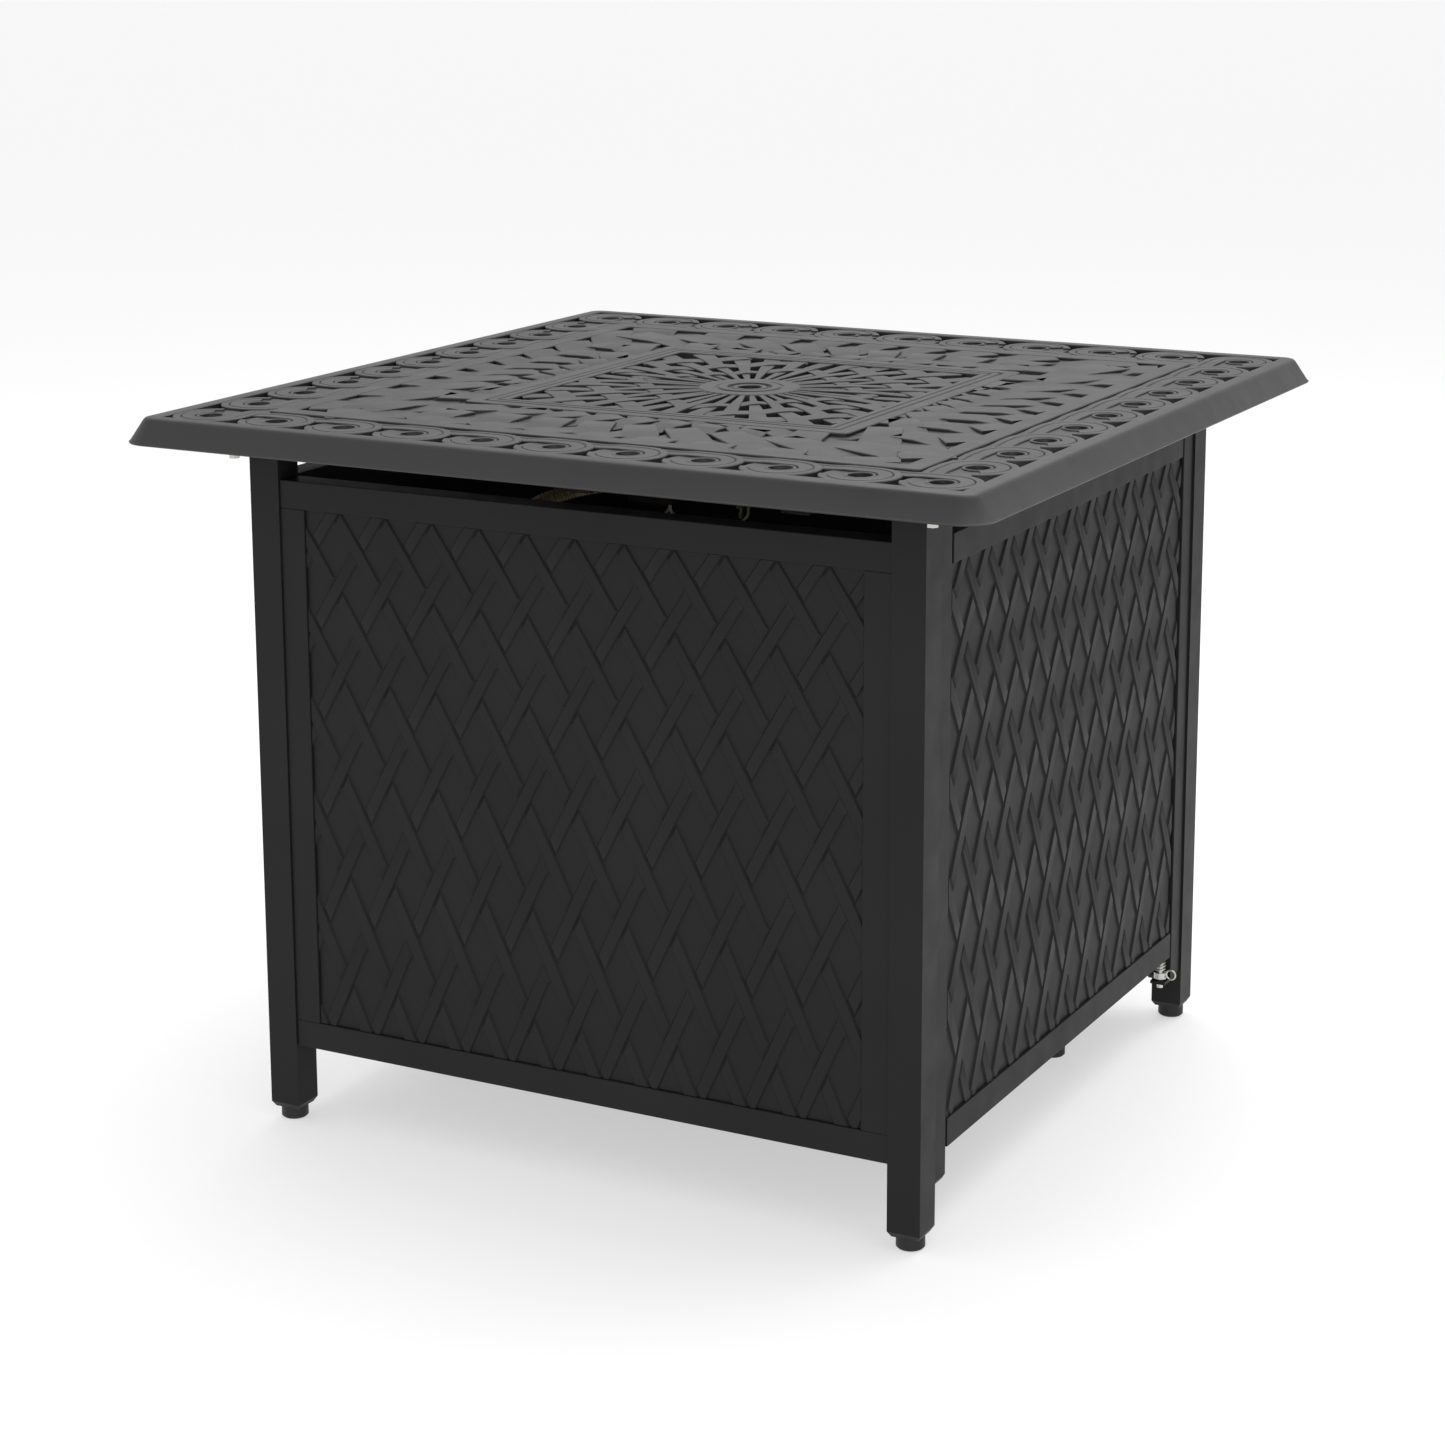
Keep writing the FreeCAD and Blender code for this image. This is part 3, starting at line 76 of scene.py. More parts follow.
@dataclass(frozen=True)
class Finish:
    """One surface finish: a base colour with mottling, a fine grain and uneven gloss."""

    name: str
    slot: str
    colour: Colour
    roughness: float
    metallic: float = 0.0
    specular: float = 0.5
    mottle: float = 0.18
    mottle_scale: float = 9.0
    grain_scale: float = 900.0
    grain_depth: float = 0.00006
    brushed: Point3 = (1.0, 1.0, 1.0)
    gloss_spread: float = 0.04

    def material(self) -> bpy.types.Material:
        """The finish as a material, made once and then shared.

        Returns:
            The material of this finish.
        """
        known = bpy.data.materials.get(self.name)
        if known:
            return known
        made = bpy.data.materials.new(self.name)
        made.use_nodes = True
        tree = made.node_tree
        shader = tree.nodes["Principled BSDF"]
        shader.inputs["Metallic"].default_value = self.metallic
        shader.inputs["Specular IOR Level"].default_value = self.specular
        place = tree.nodes.new("ShaderNodeTexCoord")
        stretch = tree.nodes.new("ShaderNodeMapping")
        stretch.inputs["Scale"].default_value = self.brushed
        tree.links.new(place.outputs["Object"], stretch.inputs["Vector"])
        clouds = self._noise(tree, place.outputs["Object"], self.mottle_scale, 5.0)
        tint = tree.nodes.new("ShaderNodeValToRGB")
        tint.color_ramp.elements[0].position = 0.30
        tint.color_ramp.elements[1].position = 0.72
        for element, share in zip(tint.color_ramp.elements, (1 - self.mottle, 1 + self.mottle)):
            element.color = (*(min(1.0, part * share) for part in self.colour), 1.0)
        tree.links.new(clouds, tint.inputs["Fac"])
        tree.links.new(tint.outputs["Color"], shader.inputs["Base Color"])
        grain = self._noise(tree, stretch.outputs["Vector"], self.grain_scale, 3.0)
        smears = self._noise(tree, stretch.outputs["Vector"], self.mottle_scale * 4, 4.0)
        gloss = tree.nodes.new("ShaderNodeMapRange")
        gloss.inputs["From Min"].default_value = 0.3
        gloss.inputs["From Max"].default_value = 0.7
        gloss.inputs["To Min"].default_value = self.roughness - self.gloss_spread
        gloss.inputs["To Max"].default_value = self.roughness + self.gloss_spread
        tree.links.new(smears, gloss.inputs["Value"])
        tree.links.new(gloss.outputs["Result"], shader.inputs["Roughness"])
        bump = tree.nodes.new("ShaderNodeBump")
        bump.inputs["Strength"].default_value = 1.0
        bump.inputs["Distance"].default_value = self.grain_depth
        tree.links.new(grain, bump.inputs["Height"])
        tree.links.new(bump.outputs["Normal"], shader.inputs["Normal"])
        return made

    @staticmethod
    def _noise(tree: bpy.types.NodeTree, vector: bpy.types.NodeSocket, scale: float,
               detail: float) -> bpy.types.NodeSocket:
        """Adds a noise texture.

        Args:
            tree: The material's node tree.
            vector: The coordinates that it reads.
            scale: Noise cells in one metre.
            detail: Octaves of finer noise.

        Returns:
            The noise's value socket.
        """
        noise = tree.nodes.new("ShaderNodeTexNoise")
        noise.inputs["Scale"].default_value = scale
        noise.inputs["Detail"].default_value = detail
        tree.links.new(vector, noise.inputs["Vector"])
        return noise.outputs["Fac"]


CAST_COAT = Finish("cast_charcoal_coat", "cast_top", (0.0125, 0.0121, 0.0121), 0.45,
                   specular=0.46, mottle=0.10, grain_scale=620.0, grain_depth=0.00010)
POWDER_COAT = Finish("charcoal_powder_coat", "powder_coat", (0.0140, 0.0136, 0.0136), 0.50,
                     specular=0.13, mottle=0.08, grain_scale=800.0, grain_depth=0.00006)
NYLON = Finish("black_nylon", "nylon", (0.012, 0.012, 0.012), 0.55, specular=0.35,
               grain_scale=400.0)
ZINC = Finish("bright_zinc", "zinc", (0.58, 0.58, 0.56), 0.30, metallic=1.0, mottle=0.12,
              mottle_scale=60.0, grain_scale=1500.0, grain_depth=0.00002)
PAN_STEEL = Finish("satin_pan_steel", "pan_steel", (0.16, 0.16, 0.155), 0.42, metallic=0.7,
                   mottle=0.22, mottle_scale=25.0, grain_scale=700.0, grain_depth=0.00004)
STAINLESS = Finish("brushed_stainless", "stainless", (0.50, 0.49, 0.47), 0.30, metallic=1.0,
                   mottle=0.10, mottle_scale=18.0, grain_scale=90.0, grain_depth=0.00002,
                   brushed=(40.0, 1.0, 40.0))
BRASS = Finish("turned_brass", "brass", (0.56, 0.38, 0.16), 0.32, metallic=1.0, mottle=0.15,
               mottle_scale=40.0, grain_scale=1200.0, grain_depth=0.00003)
CERAMIC = Finish("glazed_ceramic", "ceramic", (0.72, 0.69, 0.62), 0.28, mottle=0.06,
                 mottle_scale=30.0, grain_scale=500.0, grain_depth=0.00002)
PLATE_STEEL = Finish("brushed_plate_steel", "control_plate", (0.42, 0.42, 0.41), 0.34, metallic=1.0,
                     mottle=0.08, mottle_scale=14.0, grain_scale=60.0, grain_depth=0.00002,
                     brushed=(1.0, 1.0, 30.0))
KNOB_BLACK = Finish("moulded_knob_black", "knob", (0.010, 0.010, 0.010), 0.36, specular=0.45,
                    grain_scale=600.0, grain_depth=0.00003)
POINTER_WHITE = Finish("pointer_white", "knob", (0.70, 0.70, 0.68), 0.45, mottle=0.05,
                       grain_scale=500.0, grain_depth=0.00002)
GAS_TUBE = Finish("coated_gas_tube", "gas_tube", (0.50, 0.45, 0.30), 0.38, metallic=0.85,
                  mottle=0.14, mottle_scale=35.0, grain_scale=900.0, grain_depth=0.00003)
LEAD_RUBBER = Finish("silicone_lead", "lead", (0.55, 0.50, 0.42), 0.50, mottle=0.10,
                     mottle_scale=50.0, grain_scale=700.0, grain_depth=0.00003)
# Near-black painted shade: thin discs in this colour stand in for the shadowed inside of the
# burner's gas ports.
PORT_PAINTED_SHADE = Finish("burner_port_painted_shade", "stainless", (0.010, 0.009, 0.008), 0.80, mottle=0.3,
                   mottle_scale=60.0, grain_scale=900.0, grain_depth=0.00002)
FINISH_OF_SLOT = {finish.slot: finish for finish in (
    CAST_COAT, POWDER_COAT, NYLON, ZINC, PAN_STEEL, STAINLESS, BRASS, CERAMIC, PLATE_STEEL,
    KNOB_BLACK, GAS_TUBE, LEAD_RUBBER)}


# ---------------------------------------------------------------- mesh helpers

@dataclass
class Draft:
    """Vertices and faces gathered for one piece, in metres."""

    points: list[Vector] = field(default_factory=list)
    faces: list[tuple[int, ...]] = field(default_factory=list)
    edges: list[tuple[int, int]] = field(default_factory=list)

    def add(self, points: list[Vector], faces: list[tuple[int, ...]]) -> None:
        """Adds points, and faces that count from the first of them."""
        base = len(self.points)
        self.points += points
        self.faces += [tuple(base + index for index in face) for face in faces]

    def loops(self, rings: list[list[Vector]], closed: bool) -> None:
        """Skins equal rings of points in order.

        Args:
            rings: Closed rings of points.
            closed: Whether the last ring joins the first, rather than both being capped.
        """
        count = len(rings[0])
        faces = []
        steps = len(rings) if closed else len(rings) - 1
        for step in range(steps):
            low, high = step * count, (step + 1) % len(rings) * count
            faces += [(low + k, low + (k + 1) % count, high + (k + 1) % count, high + k)
                      for k in range(count)]
        if not closed:
            faces.append(tuple(reversed(range(count))))
            faces.append(tuple((len(rings) - 1) * count + k for k in range(count)))
        self.add([point for ring in rings for point in ring], faces)

    def block(self, low: Point3, high: Point3) -> None:
        """Adds a box between two corners, in millimetres."""
        corners = [Vector((x, y, z)) * MM for z in (low[2], high[2])
                   for x, y in ((low[0], low[1]), (high[0], low[1]), (high[0], high[1]),
                                (low[0], high[1]))]
        self.loops([corners[:4], corners[4:]], closed=False)

    def moved(self, matrix: Matrix) -> "Draft":
        """The same draft moved by a matrix."""
        return Draft([matrix @ point for point in self.points], list(self.faces), list(self.edges))

    def mesh(self, name: str) -> bpy.types.Mesh:
        """The draft as a mesh with its normals out."""
        mesh = bpy.data.meshes.new(name)
        mesh.from_pydata(self.points, self.edges, self.faces)
        if self.faces:
            point_outwards(mesh)
        return mesh


def point_outwards(mesh: bpy.types.Mesh) -> None:
    """Turns every face of a closed mesh outwards."""
    work = bmesh.new()
    work.from_mesh(mesh)
    bmesh.ops.recalc_face_normals(work, faces=work.faces)
    work.to_mesh(mesh)
    work.free()


def smooth(mesh: bpy.types.Mesh, degrees: float = 32.0) -> None:
    """Shades a mesh smooth, with edges past an angle kept sharp."""
    mesh.shade_smooth()
    mesh.set_sharp_from_angle(angle=math.radians(degrees))


def settled(name: str, mesh: bpy.types.Mesh, finish: Finish, body: str,
            replaces: tuple[str, ...] = ()) -> bpy.types.Object:
    """Puts a finished mesh in the scene as a piece of the object.

    Args:
        name: The piece's name.
        mesh: Its mesh, in the row frame.
        finish: Its finish, added if the mesh has none yet.
        body: The body that it rides on.
        replaces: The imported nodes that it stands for.

    Returns:
        The piece.
    """
    if not mesh.materials:
        mesh.materials.append(finish.material())
    mesh.name = name
    piece = bpy.data.objects.new(name, mesh)
    bpy.context.scene.collection.objects.link(piece)
    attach(piece, body)
    if replaces:
        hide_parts(*replaces)
    LOG.info("piece %s on %s, %d faces", name, body, len(mesh.polygons))
    return piece


def coated(draft: Draft, name: str, finish: Finish) -> bpy.types.Mesh:
    """A draft as a mesh that carries a finish."""
    mesh = draft.mesh(name)
    mesh.materials.append(finish.material())
    return mesh


def baked(source: bpy.types.Object) -> bpy.types.Mesh:
    """The evaluated mesh of an object, which is removed."""
    bpy.context.view_layer.update()
    seen = source.evaluated_get(bpy.context.evaluated_depsgraph_get())
    mesh = bpy.data.meshes.new_from_object(seen)
    bpy.data.objects.remove(source)
    return mesh


def joined(meshes: list[bpy.types.Mesh]) -> bpy.types.Mesh:
    """Several meshes as one, with each face keeping its material."""
    work = bmesh.new()
    materials: list[bpy.types.Material] = []
    for mesh in meshes:
        start = len(work.faces)
        work.from_mesh(mesh)
        work.faces.ensure_lookup_table()
        for face in work.faces[start:]:
            material = mesh.materials[face.material_index] if mesh.materials else None
            if material and material not in materials:
                materials.append(material)
            face.material_index = materials.index(material) if material else 0
    whole = bpy.data.meshes.new("joined")
    work.to_mesh(whole)
    work.free()
    for material in materials:
        whole.materials.append(material)
    return whole


def rounded_square(half: float, radius: float, height: float, steps: int = 6) -> list[Vector]:
    """A level square ring of points with rounded corners.

    Args:
        half: Half its width, in millimetres.
        radius: Its corners' radius, in millimetres.
        height: Its height, in millimetres.
        steps: Steps round each corner.

    Returns:
        The points, in metres, counter-clockwise.
    """
    ring = []
    for corner in range(4):
        for step in range(steps + 1):
            angle = math.radians(90 * corner + 90 * step / steps)
            middle = Vector((half - radius, half - radius, 0))
            middle.rotate(Euler((0, 0, math.radians(90 * corner))))
            offset = Vector((radius * math.cos(angle), radius * math.sin(angle), height))
            ring.append((middle + offset) * MM)
    return ring


def square_ring(draft: Draft, profile: list[Point2], corner: float, outer: float,
                steps: int = 6) -> None:
    """Sweeps a closed profile round a square with rounded corners.

    Args:
        draft: The draft that it is added to.
        profile: Points of half width and height, in millimetres.
        corner: The corner radius at the outer half width.
        outer: The half width at which the corner has that radius.
        steps: Steps round each corner.
    """
    rings = [rounded_square(half, max(1.2, corner - (outer - half)), height, steps)
             for half, height in profile]
    draft.loops(rings, closed=True)


def bar_profile(inner: float, outer: float, low: float, high: float, bevel: float) -> list[Point2]:
    """A bar's cross-section with its two upper edges bevelled."""
    return [(inner, low), (inner, high - bevel), (inner + bevel, high), (outer - bevel, high),
            (outer, high - bevel), (outer, low)]


def turned(draft: Draft, profile: list[Point2], steps: int = 48) -> None:
    """Turns a closed profile of radius and height about the z axis.

    Args:
        draft: The draft that it is added to.
        profile: Points of radius and height, in millimetres.
        steps: Steps round the axis.
    """
    rings = []
    for step in range(steps):
        angle = math.tau * step / steps
        rings.append([Vector((radius * math.cos(angle), radius * math.sin(angle), height)) * MM
                      for radius, height in profile])
    draft.loops(rings, closed=True)


# ---------------------------------------------------------------- node trees

class Tree:
    """A Geometry Nodes tree with named inputs, built node by node."""

    def __init__(self, name: str, **inputs: float | int | bpy.types.Material) -> None:
        """Starts the tree.

        Args:
            name: Its name.
            **inputs: Each input's name and its value.
        """
        self.group = bpy.data.node_groups.new(name, "GeometryNodeTree")
        self.values = inputs
        face = self.group.interface
        face.new_socket("Geometry", in_out="INPUT", socket_type="NodeSocketGeometry")
        kinds = {float: "NodeSocketFloat", int: "NodeSocketInt",
                 bpy.types.Material: "NodeSocketMaterial"}
        self.identifiers = {
            key: face.new_socket(key.replace("_", " ").title(), in_out="INPUT",
                                 socket_type=kinds[type(value)]).identifier
            for key, value in inputs.items()}
        face.new_socket("Geometry", in_out="OUTPUT", socket_type="NodeSocketGeometry")
        self.entry = self.group.nodes.new("NodeGroupInput")
        self.exit = self.group.nodes.new("NodeGroupOutput")

    def node(self, kind: str, wires: dict[str, object] | None = None, **settings: object
             ) -> bpy.types.Node:
        """Adds a node.

        Args:
            kind: The node's type.
            wires: Its input sockets by name, each with a socket or a value.
            **settings: Its own properties.

        Returns:
            The node.
        """
        node = self.group.nodes.new(kind)
        for key, value in settings.items():
            setattr(node, key, value)
        for key, value in (wires or {}).items():
            socket = next(s for s in node.inputs if s.name == key and s.enabled)
            if isinstance(value, bpy.types.NodeSocket):
                self.group.links.new(value, socket)
            else:
                socket.default_value = value
        return node

    def given(self, key: str) -> bpy.types.NodeSocket:
        """The socket that brings in one of the tree's inputs."""
        return next(s for s in self.entry.outputs if s.identifier == self.identifiers[key])

    def math(self, operation: str, first: object, second: object) -> bpy.types.NodeSocket:
        """The result of a sum on two values or sockets."""
        node = self.group.nodes.new("ShaderNodeMath")
        node.operation = operation
        for socket, value in zip(node.inputs, (first, second)):
            if isinstance(value, bpy.types.NodeSocket):
                self.group.links.new(value, socket)
            else:
                socket.default_value = value
        return node.outputs[0]

    def copies(self, piece: bpy.types.NodeSocket, count: bpy.types.NodeSocket, start: object,
               pace: object) -> bpy.types.NodeSocket:
        """Copies of a piece at equal steps along a line.

        Args:
            piece: The piece.
            count: How many copies.
            start: Where the first is, as a socket or a point.
            pace: The step from each to the next, as a socket or a vector.

        Returns:
            The copies.
        """
        line = self.node("GeometryNodeMeshLine", {"Count": count, "Start Location": start,
                                                  "Offset": pace})
        return self.node("GeometryNodeInstanceOnPoints", {"Points": line.outputs[0],
                                                          "Instance": piece}).outputs[0]

    def close(self, geometry: bpy.types.NodeSocket) -> None:
        """Ends the tree in Realize Instances and Set Material."""
        real = self.node("GeometryNodeRealizeInstances", {"Geometry": geometry})
        coat = self.node("GeometryNodeSetMaterial", {"Geometry": real.outputs[0],
                                                     "Material": self.given("material")})
        self.group.links.new(coat.outputs[0], self.exit.inputs[0])

    def grown(self, mesh: bpy.types.Mesh) -> bpy.types.Mesh:
        """The plain mesh that the tree makes from a mesh."""
        carrier = bpy.data.objects.new("carrier", mesh)
        bpy.context.scene.collection.objects.link(carrier)
        modifier = carrier.modifiers.new("grow", "NODES")
        modifier.node_group = self.group
        for key, value in self.values.items():
            modifier[self.identifiers[key]] = value
        return baked(carrier)


def instance_tree(finish: Finish, **inputs: float | int) -> Tree:
    """A tree that sets the piece it is given at the points of turned rows.

    Args:
        finish: The pieces' finish.
        **inputs: row_count, pitch, start and reach of a row, and turns, how many rows there are.

    Returns:
        The tree.
    """
    tree = Tree("turned_rows", **inputs, material=finish.material())
    begin = tree.node("ShaderNodeCombineXYZ", {"X": tree.given("start"), "Y": tree.given("reach")})
    pace = tree.node("ShaderNodeCombineXYZ", {"X": tree.given("pitch")})
    row = tree.copies(tree.entry.outputs[0], tree.given("row_count"), begin.outputs[0],
                      pace.outputs[0])
    middle = tree.node("GeometryNodeMeshLine", {"Count": tree.given("turns"),
                                                "Offset": (0.0, 0.0, 0.0)})
    index = tree.node("GeometryNodeInputIndex")
    share = tree.math("DIVIDE", index.outputs[0], tree.given("turns"))
    angle = tree.math("MULTIPLY", share, math.tau)
    spin = tree.node("ShaderNodeCombineXYZ", {"Z": angle})
    rotation = tree.node("FunctionNodeEulerToRotation", {"Euler": spin.outputs[0]})
    turned_rows = tree.node("GeometryNodeInstanceOnPoints", {
        "Points": middle.outputs[0], "Instance": row, "Rotation": rotation.outputs[0]})
    tree.close(turned_rows.outputs[0])
    return tree


def line_mesh(name: str, line: list[Vector]) -> bpy.types.Mesh:
    """A line of points in metres as a mesh of edges."""
    return Draft(line, edges=[(k, k + 1) for k in range(len(line) - 1)]).mesh(name)


# ---------------------------------------------------------------- cast top

@dataclass
class Lattice:
    """Straight strips that lean both ways from the radial lines and weave over and under."""

    inner: float
    outer: float
    top: float
    pitch: float = 10.0
    lean: float = 24.0
    lift: float = 1.4
    share: float = 0.70
    slope_room: float = 0.40
    tuck: float = 3.0
    past_edge: float = 14.0
    neighbours: int = 4

    def direction(self, family: int, index: int) -> tuple[Vector, Vector]:
        """A strip's middle point and its outward direction, in millimetres."""
        angle = math.radians(self.pitch * index + self.pitch / 2)
        ray = Vector((math.cos(angle), math.sin(angle)))
        middle = (self.inner + self.outer) / 2 / max(abs(ray.x), abs(ray.y)) * ray
        tilt = angle + family * math.radians(self.lean)
        return middle, Vector((math.cos(tilt), math.sin(tilt)))

    @staticmethod
    def reach(start: Vector, way: Vector, half: float, outward: bool) -> float:
        """How far along a line it meets a square of a half width."""
        steps = [distance for axis in (0, 1) if abs(way[axis]) > 1e-6
                 for side in (-half, half)
                 for distance in [(side - start[axis]) / way[axis]]
                 if abs(start[1 - axis] + distance * way[1 - axis]) <= half + 1e-6]
        ahead = [step for step in steps if (step > 0) == outward]
        return min(ahead, key=abs)

    def crossings(self, family: int, index: int) -> list[tuple[float, int]]:
        """Where a strip meets those of the other family, and whether it is over there."""
        start, way = self.direction(family, index)
        low = self.reach(start, way, self.inner, False)
        high = self.reach(start, way, self.outer, True)
        found = []
        for step in range(-self.neighbours, self.neighbours + 1):
            other, across = self.direction(-family, index + step)
            turn = way.x * across.y - way.y * across.x
            gap = other - start
            along = (gap.x * across.y - gap.y * across.x) / turn
            if low - self.past_edge < along < high + self.past_edge:
                found.append((along, family if step % 2 == 0 else -family))
        return sorted(found)

    def strips(self) -> list[list[tuple[Vector, float]]]:
        """Every strip's line of points in metres, with its width there in millimetres."""
        count = round(360 / self.pitch)
        lines = []
        for family in (1, -1):
            for index in range(count):
                start, way = self.direction(family, index)
                low = self.reach(start, way, self.inner - self.tuck, False)
                high = self.reach(start, way, self.outer + self.tuck, True)
                stations = [(low, None), (high, None)]
                met = self.crossings(family, index)
                for order, (along, over) in enumerate(met):
                    around = [abs(met[near][0] - along) for near in (order - 1, order + 1)
                              if 0 <= near < len(met)]
                    width = (start + along * way).length * math.radians(self.pitch) * self.share
                    reach = min([width / 2 / math.sin(math.radians(2 * self.lean)),
                                 *(self.slope_room * gap for gap in around)])
                    stations += [(along - reach, over), (along + reach, over)]
                stations = sorted((s for s in stations if low <= s[0] <= high), key=lambda s: s[0])
                line = []
                for order, (along, over) in enumerate(stations):
                    if over is None:
                        near = stations[1][1] if order == 0 else stations[-2][1]
                        over = near if near is not None else 0
                    flat = start + along * way
                    height = self.top - self.lift + over * self.lift
                    width = flat.length * math.radians(self.pitch) * self.share
                    line.append((Vector((flat.x, flat.y, height)) * MM, width))
                lines.append(line)
        return lines


def flat_bars(lines: list[list[tuple[Vector, float]]], depth: float, bevel: float) -> Draft:
    """Bars of varying width along lines, with bevelled upper edges.

    Args:
        lines: Each line's points in metres, with the bar's width there in millimetres.
        depth: The bars' depth below their lines, in millimetres.
        bevel: The bevel on their upper edges, in millimetres.

    Returns:
        The bars.
    """
    draft = Draft()
    for line in lines:
        rings = []
        for order, (point, width) in enumerate(line):
            before = line[max(0, order - 1)][0]
            after = line[min(len(line) - 1, order + 1)][0]
            way = (after - before).normalized()
            side = Vector((-way.y, way.x, 0)).normalized()
            half = width / 2
            ring = [(-half, -depth), (-half, -bevel), (-half + bevel, 0), (half - bevel, 0),
                    (half, -bevel), (half, -depth)]
            rings.append([point + (side * x + Vector((0, 0, z))) * MM for x, z in ring])
        draft.loops(rings, closed=False)
    return draft


@dataclass
class ScrollBorder:
    """The border of running scrolls: forty rings whose tails slip under their neighbours."""

    low: float
    top: float
    pitch: float = 69.5
    reach: float = 347.5
    row: int = 10
    radius: float = 33.4
    hole: float = 10.0

    def band(self, draft: Draft, inner: float, outer: float, top: float, stop: float) -> None:
        """One band of a scroll: a straight tail, then a turn round the hole.

        Args:
            draft: The draft that it is added to.
            inner: Its inner radius, in millimetres.
            outer: Its outer radius, in millimetres.
            top: The height of its top, in millimetres.
            stop: The angle at which it ends, in degrees, from the tail's tangent point.
        """
        middle, half = (inner + outer) / 2, (outer - inner) / 2
        bevel = min(0.7, half * 0.45)
        section = [(-half, self.low), (-half, top - bevel), (-half + bevel, top),
                   (half - bevel, top), (half, top - bevel), (half, self.low)]
        stations = [(Vector((-self.pitch + 14.0, 0)), Vector((0, 1)), 0.9),
                    (Vector((-self.pitch * 0.55, 0)), Vector((0, 1)), 0.9),
                    (Vector((-self.pitch * 0.30, 0)), Vector((0, 1)), 0.0)]
        steps = round(stop / 12)
        for step in range(steps + 1):
            angle = math.radians(90 - stop * step / steps)
            stations.append((Vector((0, 0)), Vector((math.cos(angle), math.sin(angle))), 0.0))
        rings = []
        for spot, out, sink in stations:
            rings.append([Vector((spot.x + out.x * (middle + offset),
                                  spot.y + out.y * (middle + offset),
                                  height - (sink if height > self.low else 0))) * MM
                          for offset, height in section])
        draft.loops(rings, closed=False)

    def scroll(self) -> Draft:
        """One scroll about the origin, with its tail to the left on the side away from the rim."""
        draft = Draft()
        self.band(draft, 26.5, self.radius, self.top, 255.0)
        self.band(draft, 14.0, 25.7, self.top, 242.0)
        turned(draft, [(self.hole, self.low), (self.hole, self.top - 0.9),
                       (self.hole + 0.6, self.top - 0.3), (12.4, self.top - 0.3),
                       (13.0, self.top - 0.9), (13.0, self.low)], steps=28)
        turned(draft, [(self.hole + 0.1, self.low + 0.2), (self.hole + 0.1, self.top - 1.5),
                       (self.radius - 0.8, self.top - 1.5),
                       (self.radius - 0.8, self.low + 0.2)], steps=28)
        return draft

    def mesh(self, finish: Finish) -> bpy.types.Mesh:
        """The whole border as one mesh."""
        tree = instance_tree(finish, row_count=self.row, pitch=self.pitch * MM,
                             start=(self.pitch * (self.row - 1) - self.reach) * -MM,
                             reach=-self.reach * MM, turns=4)
        return tree.grown(self.scroll().mesh("scroll"))


